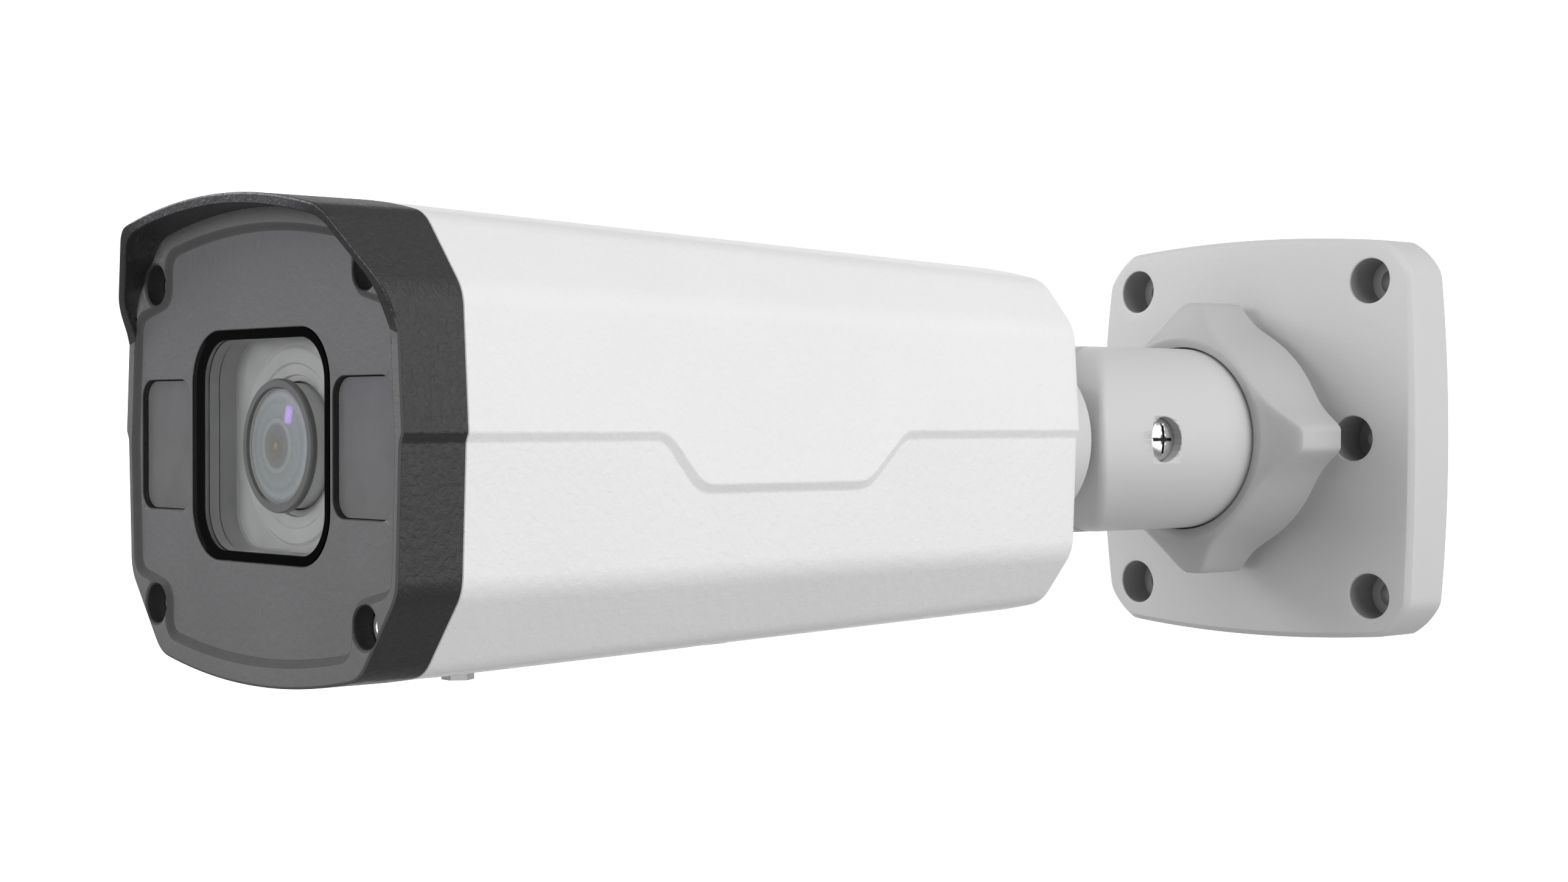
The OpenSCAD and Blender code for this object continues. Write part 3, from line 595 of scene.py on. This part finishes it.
def body_section(depth, inset=0.0, stepped=True):
    """Closed outline of the body at a depth behind the rim, from the crown's middle round by +X."""
    run = max(0.0, depth - SEAM)
    t = run / (BODY_END - SEAM)
    lower = HALF_W - STEP - inset
    upper = lower + (STEP if stepped else 0)
    top_dist = TOP_BEVEL[1] - TOP_BEVEL[2] * run - inset
    low_dist = LOW_BEVEL[1] - LOW_BEVEL[2] * run - inset
    crown = lambda x: crown_z(x, t) - inset
    belly = lambda x: belly_z(x, t) + inset
    c1 = meet(crown, bevel_line(TOP_BEVEL[0], top_dist), 0, 45)
    c4 = meet(belly, bevel_line(LOW_BEVEL[0], low_dist), 0, 45)
    c2 = bevel_side(TOP_BEVEL[0], top_dist, upper)
    c3 = bevel_side(LOW_BEVEL[0], low_dist, lower)
    z_up = step_height(depth)
    slope = (step_height(depth + 0.3) - step_height(depth - 0.3)) / 0.6
    z_down = z_up - STEP_FALL * math.sqrt(1 + slope * slope)
    s_up, s_down = (side_x(upper, z_up), z_up), (side_x(lower, z_down), z_down)
    top = [(c1[0] * k / 24, crown(c1[0] * k / 24)) for k in range(25)]
    low = [(c4[0] * (1 - k / 24), belly(c4[0] * (1 - k / 24))) for k in range(25)]
    half = round_chain(
        [top, [c1, c2], [c2, s_up], [s_up, s_down], [s_down, c3], [c3, c4], low],
        [2.6, 2.4, 0.3, 0.3, 2.4, 2.6], [16, 5, 10, 3, 8, 5, 16])
    return half + [(-x, z) for x, z in half[-2:0:-1]]


def boolean(obj, other, operation):
    """Applies one exact boolean and removes the other piece."""
    change = obj.modifiers.new("cut", "BOOLEAN")
    change.solver = "EXACT"
    change.operation = operation
    change.material_mode = "TRANSFER"
    change.object = other
    weigh = obj.modifiers.get("weighted_normals")
    if weigh:
        obj.modifiers.remove(weigh)
    depsgraph = bpy.context.evaluated_depsgraph_get()
    mesh = bpy.data.meshes.new_from_object(obj.evaluated_get(depsgraph))
    obj.modifiers.clear()
    obj.data = mesh
    bpy.data.objects.remove(other)
    smooth(obj, 32)


def plan_block(name, hx, d0, d1, r, low, high):
    """A solid over a rounded rectangle seen from above, between two heights given over (x, depth)."""
    shell = Shell()
    plan = rounded_rect(hx, (d1 - d0) / 2, r, 8, z=(d0 + d1) / 2)
    across = [-hx + 3 * i for i in range(1, int(hx * 2 / 3) + 1)]
    along = [d0 + 4 * j for j in range(1, int((d1 - d0) / 4) + 1)]
    margin = offset_loop(plan, 1.2)
    grid = [(x, d) for x in across for d in along if inside((x, d), margin)]
    made = []
    for height in (low, high):
        lift = lambda x, d: (x, at(d), height(x, d))
        loop = shell.ring([lift(*p) for p in plan])
        shell.fill(loop, flat=lambda p: (p[0], p[1] - FACE_Y), inner=grid, lift=lift)
        made.append(loop)
    shell.chain(made)
    return shell.build(name, [WHITE_PAINT])


def turned(name, profile, material, axis="Y", origins=((0, 0, 0),), count=72, sharp=32):
    """Solids of revolution; the profile is (radius, station) from one end of the axis to the other."""
    shell = Shell()
    for origin in origins:
        rings = []
        for r, s in profile:
            ring = []
            for k in range(count):
                a = 2 * math.pi * k / count
                u, v = r * math.cos(a), r * math.sin(a)
                offset = {"Y": (u, s, v), "X": (s, u, v), "Z": (u, v, s)}[axis]
                ring.append(tuple(o + c for o, c in zip(origin, offset)))
            rings.append(ring)
        shell.loft(rings)
    return shell.build(name, [material], sharp)


def belly_at(inset):
    return lambda x, d: belly_z(x, max(0.0, d - SEAM) / (BODY_END - SEAM)) + inset


def below_all(x, d):
    return -46


# ---- Housing ----

def housing_stations():
    """Depths of the outer rings, close together where the side step turns."""
    stations = [SEAM + 0.15, 14, 18, 22, 26, 30, 34, 38, 42, 45]
    stations += [46.5 + 0.7 * k for k in range(19)]
    stations += [62, 66, 70, 74, 78, 82, 86, 89.5]
    stations += [91 + 0.7 * k for k in range(20)]
    stations += [107, 111, 115, 119, 123, 127, 131, 135, 139, 143, BODY_END - 1.5]
    return stations


def housing_shell():
    shell = Shell()
    rear_wall = 143.4
    rings = [faced(body_section(SEAM, 0.15), SEAM)]
    rings += [faced(body_section(d), d) for d in housing_stations()]
    for inward, back in fillet_steps(1.4, 5)[::-1][1:]:
        rings.append(faced(body_section(BODY_END, inward), BODY_END - back))
    outer = shell.loft(rings)
    depths = (SEAM, 30, 50, 75, 100, 125, rear_wall)
    cavity = shell.loft([faced(body_section(d, WALL, False), d) for d in depths])
    shell.bridge(outer[0], cavity[0])
    bore = [shell.ring(faced(circle_loop(14, 64), d)) for d in (BODY_END, rear_wall)]
    shell.fill(outer[-1], [bore[0]])
    shell.fill(cavity[-1], [bore[1]])
    shell.chain(bore)
    return shell.build("housing_shell", [WHITE_PAINT])


def housing():
    """The shell, with the service cover's sunken seat, the bay behind it and its two screw places."""
    body = housing_shell()
    half, first, last = HATCH
    side, depth = HATCH_SCREWS
    corners = [(sx * side, at(depth), 0) for sx in (-1, 1)]
    boss = [(0, -33), (7.4, -33), (7.4, -26.5), (0, -26.5)]
    cup = [(0, -50), (6.3, -50), (6.3, -30.1), (1.6, -30.1), (1.6, -28), (0, -28)]
    ledge = plan_block("ledge", half + 2, first - 2, last + 2, 5, belly_at(WALL - 0.4), belly_at(WALL + 1.8))
    hatch = plan_block("hatch", half, first, last, 3.5, below_all, belly_at(WALL))
    bay = plan_block("bay", 15.5, 29, 66, 3, below_all, lambda x, d: -22)
    boolean(body, ledge, "UNION")
    boolean(body, turned("boss", boss, WHITE_PAINT, "Z", corners, 48), "UNION")
    boolean(body, hatch, "DIFFERENCE")
    boolean(body, bay, "DIFFERENCE")
    boolean(body, turned("cup", cup, WHITE_PAINT, "Z", corners, 48), "DIFFERENCE")
    stand_for(body, "housing", "camera")


# ---- Front cover ----

def ease(value):
    return min(1.0, max(0.0, value))


def hood_reach(z):
    return HOOD * ease((z - 17.4) / 18.3)


def rim_ring(inset, back):
    """A ring on the front edge of the cover, following the hood."""
    return [(x, at(back - hood_reach(z)), z) for x, z in body_section(0, inset, inset < 0.5)]


def pad_outline():
    """Edge of the sunken pad, which steps in round the four screws."""
    def side(z):
        return side_x(HALF_W - STEP - 2.0, z)

    def quarter(apex, radius, sign):
        arc = []
        for k in range(21):
            x = 28.5 * k / 20
            arc.append((x, sign * (apex - radius + math.sqrt(radius ** 2 - x ** 2))))
        knots = [arc[-1], (28.5, sign * 23.6), (side(21.2 * sign), sign * 21.2), (side(0), 0.0)]
        legs = [[a, b] for a, b in zip(knots, knots[1:])]
        return round_chain([arc, *legs], [3.0, 2.8, 2.6], [18, 4, 6, 12], 8)

    upper = quarter(34.4, CROWN_R, 1)
    lower = quarter(34.0, BELLY_R, -1)
    right = upper + lower[-2::-1]
    return right + [(-x, z) for x, z in right[-2:0:-1]]


def pocket(shell, outline, depth, floor_depth, chamfer=0.15):
    """A pocket's edge, wall and floor loop; returns the rim loop and the floor loop."""
    wide = offset_loop(outline, -chamfer)
    loops = [shell.ring(faced(wide, depth)), shell.ring(faced(outline, depth + chamfer)),
             shell.ring(faced(outline, floor_depth))]
    shell.chain(loops)
    return loops[0], loops[2]


def front_screws():
    """Button heads low in the counterbores, each with a round drive recess."""
    profile = [(0, 12), (2.0, 12), (2.0, 6.5), (3.1, 6.5), (3.1, 3.9), (2.95, 3.5), (2.5, 3.2), (1.5, 3.0),
               (1.35, 3.1), (1.3, 4.2), (0, 4.2)]
    heads = turned("front_screw_heads", profile, BRIGHT, "Y", SCREW_SPOTS, 48)
    stand_for(heads, "front_screws", "camera")


def cover_rim(shell):
    """The cover's outside and the hood's lip; returns the ring at the seam and the lip's foot on the face."""
    rings = [faced(body_section(0, 0.15), SEAM), faced(body_section(0), SEAM - 0.15)]
    rings += [faced(body_section(0), d) for d in (8, 4, 1.2)]
    rings += [rim_ring(inward, back) for inward, back in fillet_steps(0.45, 4)[::-1]]
    outer = shell.loft(rings)
    near, far = body_section(0, 1.2, False), body_section(0, 1.8, False)
    lip = []
    for a, b in zip(near, far):
        t = ease((a[1] - 15) / 5)
        lip.append(tuple(p + (q - p) * t for p, q in zip(a, b)))
    edge = shell.ring([(x, at(-hood_reach(z)), z) for x, z in offset_loop(lip, -0.2)])
    soft = shell.ring([(x, at(0.2 - hood_reach(z)) if hood_reach(z) > 0.2 else at(0), z) for x, z in lip])
    root = shell.ring(faced(lip, 0))
    shell.chain([outer[-1], edge, soft, root])
    return outer[0], root


def sunken_pad(shell, root):
    """The slope round the pad, from the face's rim down to the pad's floor loop."""
    pad = pad_outline()
    slope = ((-0.65, 0), (-0.4, 0.08), (0, 0.47), (0.4, 0.87), (0.65, PAD_DEPTH))
    steps = [shell.ring(faced(offset_loop(pad, inward), d)) for inward, d in slope]
    shell.fill(root, [steps[0]])
    shell.chain(steps)
    return steps[-1]


def glazed_hole(shell, outline, hole, floor_depth, tint):
    """A pocket for a pane with a hole behind it; returns the pocket's rim and the hole's rear loop."""
    rim, floor = pocket(shell, outline, PAD_DEPTH, floor_depth)
    through = [shell.ring(faced(hole, d)) for d in (floor_depth, COVER_FLOOR)]
    shell.fill(floor, [through[0]])
    shell.tint = tint
    shell.chain(through)
    shell.tint = 0
    return rim, through[1]


def light_and_shade_by_facing(body):
    """Paints light and shade by facing: faces looking straight ahead take a lighter copy of the dark paint as
    painted light, and the slopes round the pad a darker one as painted shade.
    """
    paints = {look: i for i, look in enumerate(body.data.materials)}
    for face in body.data.polygons:
        depth = face.center.y * 1000 - FACE_Y
        if face.normal.y < -0.5 and -0.2 < depth < 1.2:
            face.material_index = paints[LIT_FACE_PAINT if face.normal.y < -0.985 else SHADED_STEP_PAINT]


def front_cover():
    shell = Shell()
    seam, root = cover_rim(shell)
    pad_floor = sunken_pad(shell, root)
    holes = [glazed_hole(shell, rounded_rect(*WINDOW_POCKET), rounded_rect(*VIEW_HOLE), 2.9, 1)]
    for x in (-IR_X, IR_X):
        pane, light_way = rounded_rect(*IR_POCKET, x=x), rounded_rect(6.8, 9.0, 2, x=x)
        holes.append(glazed_hole(shell, pane, light_way, 3.4, 0))
    shell.fill(pad_floor, [rim for rim, _ in holes])
    inner = shell.loft([faced(body_section(0, WALL, False), d) for d in (COVER_FLOOR, SEAM)])
    shell.fill(inner[0], [back for _, back in holes])
    shell.bridge(inner[1], seam)
    body = shell.build("front_cover_shell", [DARK_PAINT, SHROUD_WALL, LIT_FACE_PAINT, SHADED_STEP_PAINT])
    boss = [(0, 4.5), (3.6, 4.5), (3.6, 11.3), (0, 11.3)]
    bore = [(0, -1), (3.75, -1), (3.75, 0), (3.3, 0.4), (3.3, 6.5), (2.15, 6.5), (2.15, 12), (0, 12)]
    boolean(body, turned("boss", boss, DARK_PAINT, "Y", SCREW_SPOTS, 48), "UNION")
    # the counterbore walls carry painted shade in near-black
    boolean(body, turned("bore", bore, SHADE, "Y", SCREW_SPOTS, 48), "DIFFERENCE")
    light_and_shade_by_facing(body)
    stand_for(body, "front_cover", "camera")


# ---- Behind the window ----

def lens_shroud():
    """A shallow chamber whose floor steps in round bands towards the lens."""
    shell = Shell()
    front, rear = 4.8, 8.6
    outside = [shell.ring(faced(rounded_rect(20.4, 18.8, 7.6), d)) for d in (front, rear)]
    shell.chain(outside)
    mouth = shell.ring(faced(rounded_rect(18.7, 17.1, 7), front))
    shell.fill(outside[0], [mouth])
    foot = shell.ring(faced(rounded_rect(18.6, 17.0, 6.9), 7.8))
    shell.tint = 1
    shell.bridge(mouth, foot)
    shell.tint = 0
    floor = shell.ring(faced(rounded_rect(18.3, 16.7, 6.6), 8.1))
    shell.bridge(foot, floor)
    bands = [(16.5, 8.1), (16.1, 8.05), (15.6, 7.7), (15.3, 7.65), (13.3, 7.65), (13.0, 7.9), (11.4, 7.95),
             (11.2, 8.4), (10.35, 8.42), (10.3, rear)]
    shell.tint = 2
    made = shell.loft([faced(circle_loop(r, 96), d) for r, d in bands])
    shell.tint = 0
    shell.fill(floor, [made[0]])
    shell.fill(outside[1], [made[-1]])
    chamber = shell.build("lens_shroud_shell", [SHROUD, SHROUD_WALL, SHROUD_DISC], 25)
    stand_for(chamber, "lens_shroud", "camera")


def front_cell():
    """A pale sleeve, lightened further as painted light against the shade of its recess, with a darker lip
    round the lens.
    """
    lip_rear = 5.5
    profile = [(8.6, 16), (10, 16), (10, lip_rear), (10.7, lip_rear), (10.7, 4.75), (10.5, CELL_FRONT + 0.05),
               (10.3, CELL_FRONT), (9.4, CELL_FRONT), (9.2, 4.9), (9.15, 6.5), (8.6, 6.5), (8.6, 16)]
    cell = turned("front_cell_ring", [(r, at(d)) for r, d in profile], PALE_LIT_CELL, "Y", count=96, sharp=25)
    cell.data.materials.append(LIP)
    for face in cell.data.polygons:
        if face.center.y * 1000 < at(lip_rear + 0.1):
            face.material_index = 1
    stand_for(cell, "front_lens_cell", "front_cell")


def front_lens():
    bend = 50.0
    edge = math.asin(LENS_R / bend)
    profile = []
    for k in range(15):
        a = edge * k / 14
        profile.append((bend * math.sin(a), CELL_FRONT - 0.1 + bend * (1 - math.cos(a))))
    profile += [(LENS_R, 6.4), (8.55, 6.6), (8.55, 11), (0, 11)]
    lens = turned("front_lens_glass", [(r, at(d)) for r, d in profile], LENS, "Y", count=96, sharp=40)
    stand_for(lens, "front_lens", "front_cell")


# ---- Bracket ----

def lower_of(a, b, tight):
    """The smaller of two radii, with a rounded change from one to the other."""
    return -math.log(math.exp(-tight * (a - 25)) + math.exp(-tight * (b - 25))) / tight + 25


def higher_of(a, b, tight):
    return math.log(math.exp(tight * (a - 25)) + math.exp(tight * (b - 25))) / tight + 25


def wing_radius(angle, station):
    """The lock ring's outer radius at an angle; station runs from 0 at its front to 1 at its rear."""
    collar = 22.3 + 2.3 * station
    a = abs((angle + math.pi / 4) % (math.pi / 2) - math.pi / 4)
    tip = 29.85 / math.cos(a)
    flank = 24.9 / (math.sin(a) + 0.75 * math.cos(a))
    return higher_of(collar, lower_of(tip, flank, 1.8), 0.7)


def wing_ring(station, y, limit=99.0):
    """One outline of the lock ring, held inside a cone that gives its front its slant."""
    out = []
    for k in range(288):
        a = 2 * math.pi * k / 288
        r = lower_of(wing_radius(a, station), limit, 1.6)
        r = min(r, 29.72 / max(abs(math.cos(a)), abs(math.sin(a))))
        out.append((r * math.cos(a), y, r * math.sin(a)))
    return out


def lock_ring():
    """A round collar whose flanks flow out into four blunt wings."""
    shell = Shell()
    slant = RING_FRONT + 0.25
    shoulder = RING_FRONT + 5.3
    lip = [(19.85, RING_FRONT + 0.9), (19.95, RING_FRONT + 0.6), (21.1, RING_FRONT)]
    rings = [upright(circle_loop(r, 288), y) for r, y in lip]
    rings += [wing_ring(0, RING_FRONT, 21.9), wing_ring(0, slant, 22.4)]
    rings += [wing_ring(0.2 * t, slant + 5.05 * t, 22.2 + 8.6 * t) for t in (k / 11 for k in range(1, 12))]
    straight = RING_REAR - 0.5 - shoulder
    rings += [wing_ring(0.2 + 0.8 * t, shoulder + straight * t) for t in (k / 7 for k in range(1, 8))]
    rings.append([(x * 0.985, RING_REAR, z * 0.985) for x, y, z in rings[-1]])
    bore = [(RING_BORE, RING_REAR), (RING_BORE, -33.8), (20.3, -33.8), (19.85, RING_FRONT + 1.6)]
    rings += [upright(circle_loop(r, 288), y) for r, y in bore]
    made = shell.loft(rings)
    shell.bridge(made[-1], made[0])
    stand_for(shell.build("lock_ring_shell", [RING_PAINT], 28), "lock_ring", "lock_ring")


def plate_outline(inset):
    """A rounded square with slightly bowed edges."""
    half_w, half_h = PLATE_HALF[0] - inset, PLATE_HALF[1] - inset
    loop = rounded_rect(half_w, half_h, PLATE_CORNER - inset, 16)
    held = []
    for x, z in resample(loop + [loop[0]], 241)[:-1]:
        z_max = half_h - PLATE_BOW + math.sqrt(PLATE_BOW ** 2 - x * x)
        x_max = half_w - PLATE_BOW + math.sqrt(PLATE_BOW ** 2 - z * z)
        held.append((max(-x_max, min(x_max, x)), max(-z_max, min(z_max, z))))
    return held


def plate_dome(x, z):
    """The plate's gently domed front."""
    return -PLATE_OUT + PLATE_DOME - math.sqrt(PLATE_DOME ** 2 - x * x - z * z)


def on_dome(loop, back=0.0):
    return [(x, plate_dome(x, z) + back, z) for x, z in loop]


def wall_screw_well(shell, x, z):
    """Head pocket, through hole and the post round them; returns the loops on the front and on the web."""
    def circle(r):
        return circle_loop(r, 48, x, z)

    mouth = ((5.25, 0), (4.97, 0.12), (4.85, 0.45))
    below = ((4.85, -5), (2.75, -5), (2.75, 0), (7, 0), (7, PLATE_WEB))
    loops = [shell.ring(on_dome(circle(r), back)) for r, back in mouth]
    loops += [shell.ring(upright(circle(r), y)) for r, y in below]
    shell.chain(loops[:3])
    # the pocket walls and hole take the darker bore paint, a painted shade
    shell.tint = 1
    shell.chain(loops[2:6])
    shell.tint = 0
    shell.chain(loops[5:])
    return loops[0], loops[-1]


def plate_edge(shell):
    """From the wall face round the edge to the front."""
    rim = plate_outline(0)
    rings = [upright(plate_outline(0.2), 0), upright(rim, -0.25)]
    rings += [[(x, plate_dome(x, z) * k / 4, z) for x, z in rim] for k in (1, 2, 3)]
    rounding = ((0, 1.35), (0.1, 1.05), (1.05, 0.1), (1.3, 0))
    rings += [on_dome(plate_outline(inward), back) for inward, back in rounding]
    return shell.loft(rings)


def base_plate():
    shell = Shell()
    edge = plate_edge(shell)
    profile = [(BOSS_R, plate_dome(BOSS_R, 0)), (BOSS_R, -28.7), (21.3, -29), (14.05, -29), (14.05, -13),
               (8, -13), (8, PLATE_WEB)]
    boss = shell.loft([upright(circle_loop(r, 96), y) for r, y in profile])
    margin = offset_loop(plate_outline(0), 2.4)
    grid = [(3.0 * i, 3.0 * j) for i in range(-15, 16) for j in range(-15, 16)]
    grid = [p for p in grid if inside(p, margin) and math.hypot(*p) > 23]
    grid = [p for p in grid if all(math.dist(p, spot) > 6.6 for spot in WALL_SCREWS)]
    wells = [wall_screw_well(shell, x, z) for x, z in WALL_SCREWS]
    fronts = [boss[0]] + [front for front, _ in wells]
    shell.fill(edge[-1], fronts, inner=grid, lift=lambda x, z: (x, plate_dome(x, z), z))
    hollow = shell.loft([upright(rounded_rect(40.9, 41.8, 12.4, 10), y) for y in (0, PLATE_WEB)])
    shell.fill(hollow[1], [boss[-1]] + [back for _, back in wells])
    shell.fill(edge[0], [hollow[0]])
    plate = shell.build("base_plate_shell", [BRACKET_PAINT, BORE_SHADE])
    stand_for(plate, "base_plate", "wall_mount")


def corner_arc(x, y, dx, dy, r, count=6):
    """Rounds the corner at (x, y); dx and dy point along the two legs that leave it."""
    cx, cy = x + dx * r, y + dy * r
    angles = [math.pi / 2 * k / count for k in range(count + 1)]
    return [(cx - dx * r * math.sin(a), cy - dy * r * math.cos(a)) for a in angles]


def knuckle(name, plan):
    """Stacks the plan's outlines from the bottom of the arm's round to its top."""
    shell = Shell()
    levels = []
    for k in range(49):
        a = math.radians(-88.6 + 177.2 * k / 48)
        z, h = ARM_R * math.sin(a), ARM_R * math.cos(a)
        levels.append([(x, y, z) for x, y in plan(h, z)])
    made = shell.loft(levels)
    for loop in (made[0], made[-1]):
        shell.fill(loop, flat=lambda p: (p[0], p[1]))
    return shell.build(name, [BRACKET_PAINT])


def arm():
    split = -0.25

    def plan(h, z):
        """The arm from above at a height: half as wide at the knuckle, which starts at the split."""
        wall = PIVOT_Y + (math.sqrt(KNUCKLE_R ** 2 - z * z) if z > 0 else KNUCKLE_R)
        r = min(1.5, 0.45 * h)
        front = PIVOT_Y - h
        out = resample([(split, wall), (split, front)], 10)
        out += resample([(split + 0.01, front), (h - r, front)], 8)
        out += corner_arc(h, front, -1, 1, r)
        out += resample([(h, front + r + 0.01), (h, ARM_REAR)], 12)
        out += resample([(h - 0.05, ARM_REAR), (-h + 0.05, ARM_REAR)], 8)
        out += resample([(-h, ARM_REAR), (-h, wall)], 8)
        out += resample([(-h + 0.02, wall), (split - 0.02, wall)], 6)
        return out

    body = knuckle("arm_shell", plan)
    flange = [(0, -33.4), (20.9, -33.4), (21.2, -33.1), (21.2, -30.3), (14, -30.3), (14, -17), (0, -17)]
    cable_way = [(0, -16), (5.6, -16), (5.6, -50), (0, -50)]
    recess = [(0, 0.5), (3.05, 0.5), (3.05, 13.6), (4.7, 13.6), (4.7, 22), (0, 22)]
    boolean(body, turned("flange", flange, BRACKET_PAINT), "UNION")
    boolean(body, turned("bore", cable_way, BRACKET_PAINT), "DIFFERENCE")
    # the recess takes the darker bore paint, a painted shade
    boolean(body, turned("recess", recess, BORE_SHADE, "X", [(0, PIVOT_Y, 0)]), "DIFFERENCE")
    stand_for(body, "arm", "arm")


def pivot_screw():
    """A domed cross head that nearly fills its recess in the arm."""
    profile = [(0, -14), (2.95, -14), (2.95, 14.75), (4.2, 14.75), (4.4, 15.0), (4.4, 17.2), (4.2, 17.6),
               (3.5, 18.15), (2.4, 18.5), (1.2, 18.65), (0, 18.7)]
    body = turned("pivot_screw_shell", profile, CHROME, "X", [(0, PIVOT_Y, 0)], 64, 25)
    corner = [(0.28, 0.28), (2.9, 0.28), (2.9, -0.28)]
    outline = []
    for _ in range(4):
        outline += corner
        corner = [(z, -y) for y, z in corner]
    cross = Shell()
    for end in cross.loft([[(x, PIVOT_Y + y, z) for y, z in outline] for x in (17.5, 20)]):
        cross.fill(end, flat=lambda p: (p[1], p[2]))
    # the cross recess carries painted shade in near-black
    boolean(body, cross.build("cross", [SHADE]), "DIFFERENCE")
    stand_for(body, "pivot_screw", "neck")


def neck():
    split = -0.55

    def plan(h, z):
        """The neck's half of the knuckle from above at a height."""
        h = max(h, 0.58)
        r = min(1.5, 0.45 * (h + split))
        back = PIVOT_Y + h
        out = resample([(split, NECK_REAR), (split, back)], 14)
        out += resample([(split - 0.01, back), (-h + r, back)], 8)
        out += corner_arc(-h, back, 1, -1, r)
        out += resample([(-h, back - r - 0.01), (-h, NECK_REAR)], 12)
        out += resample([(-h + 0.01, NECK_REAR), (split - 0.01, NECK_REAR)], 6)
        return out

    body = knuckle("neck_shell", plan)
    profile = [(0, -86.7), (17.4, -86.7), (17.8, -86.9), (18, -87.3), (18, -117.0), (17.8, -117.5),
               (17.3, -117.7), (16.9, -117.7), (16.9, -115.7), (14.7, -115.7), (14.7, -117.7),
               (13.95, -117.7), (13.95, -128), (5.6, -128), (5.6, -88.5), (0, -88.5)]
    boolean(body, turned("collar", profile, BRACKET_PAINT, count=96), "UNION")
    stand_for(body, "neck", "neck")


# ---- Stage, light and camera ----

VIEW_TURN = 48.3                          # degrees from straight ahead of the lens


def floor():
    bpy.ops.mesh.primitive_circle_add(vertices=96, radius=3.0, fill_type="NGON", location=(0, -0.15, -1.1))
    disc = bpy.context.object
    disc.name = "floor"
    disc.data.materials.append(moulded("floor_paper", grey(0.55), 0.8, 2.0, 0.02, spread=0.01))


def backdrop():
    """A softly glowing card behind the camera's view."""
    material, nodes, links = new_material("backdrop_light")
    shader = nodes["Principled BSDF"]
    shader.inputs["Base Color"].default_value = (1, 1, 1, 1)
    shader.inputs["Emission Color"].default_value = (1, 1, 1, 1)
    shader.inputs["Emission Strength"].default_value = 1.05
    facing = (math.radians(90), 0, math.radians(VIEW_TURN))
    bpy.ops.mesh.primitive_plane_add(size=1, location=(-1.15, 0.95, 0.0), rotation=facing)
    card = bpy.context.object
    card.name = "backdrop"
    card.scale = (2.4, 1.5, 1)
    card.data.materials.append(material)


def soft_box(name, place, target, width, height, watts, colour=(1, 1, 1)):
    data = bpy.data.lights.new(name, "AREA")
    data.shape = "RECTANGLE"
    data.size, data.size_y = width, height
    data.energy = watts
    data.color = colour
    obj = bpy.data.objects.new(name, data)
    obj.location = place
    obj.rotation_euler = (Vector(target) - Vector(place)).to_track_quat("-Z", "Y").to_euler()
    bpy.context.scene.collection.objects.link(obj)


def lights():
    world = bpy.data.worlds.new("studio")
    world.use_nodes = True
    sky = world.node_tree.nodes["Background"]
    sky.inputs["Color"].default_value = (1, 1, 1, 1)
    sky.inputs["Strength"].default_value = 0.24
    bpy.context.scene.world = world
    centre = (0, -0.15, 0)
    soft_box("side_rear", (0.95, 0.25, 0.12), centre, 1.2, 0.9, 5.6)
    soft_box("top_side", (0.75, -0.1, 0.85), centre, 0.9, 0.7, 4.6)
    soft_box("front", (-0.1, -1.3, 0.1), centre, 0.7, 0.6, 7.4)
    soft_box("top_rear", (-0.1, 0.6, 0.9), centre, 0.9, 0.9, 0.7)
    soft_box("low", (0.5, -0.4, -0.25), centre, 0.7, 0.5, 0.3)
    soft_box("left", (-0.8, -0.5, 0.5), (0, -0.02, 0), 0.5, 0.5, 4.0)
    soft_box("lens_spark", (-0.66, -0.772, 0.1), (0, -0.26, 0), 0.07, 0.06, 0.085, (0.5, 0.2, 1.0))


def photo_camera():
    data = bpy.data.cameras.new("camera")
    data.sensor_width = 36
    data.lens = 56.74
    data.clip_start = 0.01
    obj = bpy.data.objects.new("camera", data)
    turn, dip = math.radians(VIEW_TURN), math.radians(0.53)
    look = Vector((-math.sin(turn) * math.cos(dip), math.cos(turn) * math.cos(dip), -math.sin(dip)))
    obj.location = (0.3461, -0.4618, 0.0044)
    obj.rotation_euler = look.to_track_quat("-Z", "Y").to_euler()
    bpy.context.scene.collection.objects.link(obj)
    bpy.context.scene.camera = obj


for build in (housing, front_cover, front_screws, lens_shroud, front_cell, front_lens, lock_ring, base_plate,
              arm, pivot_screw, neck, floor, backdrop, lights, photo_camera):
    build()
bpy.context.scene.view_settings.view_transform = "Standard"
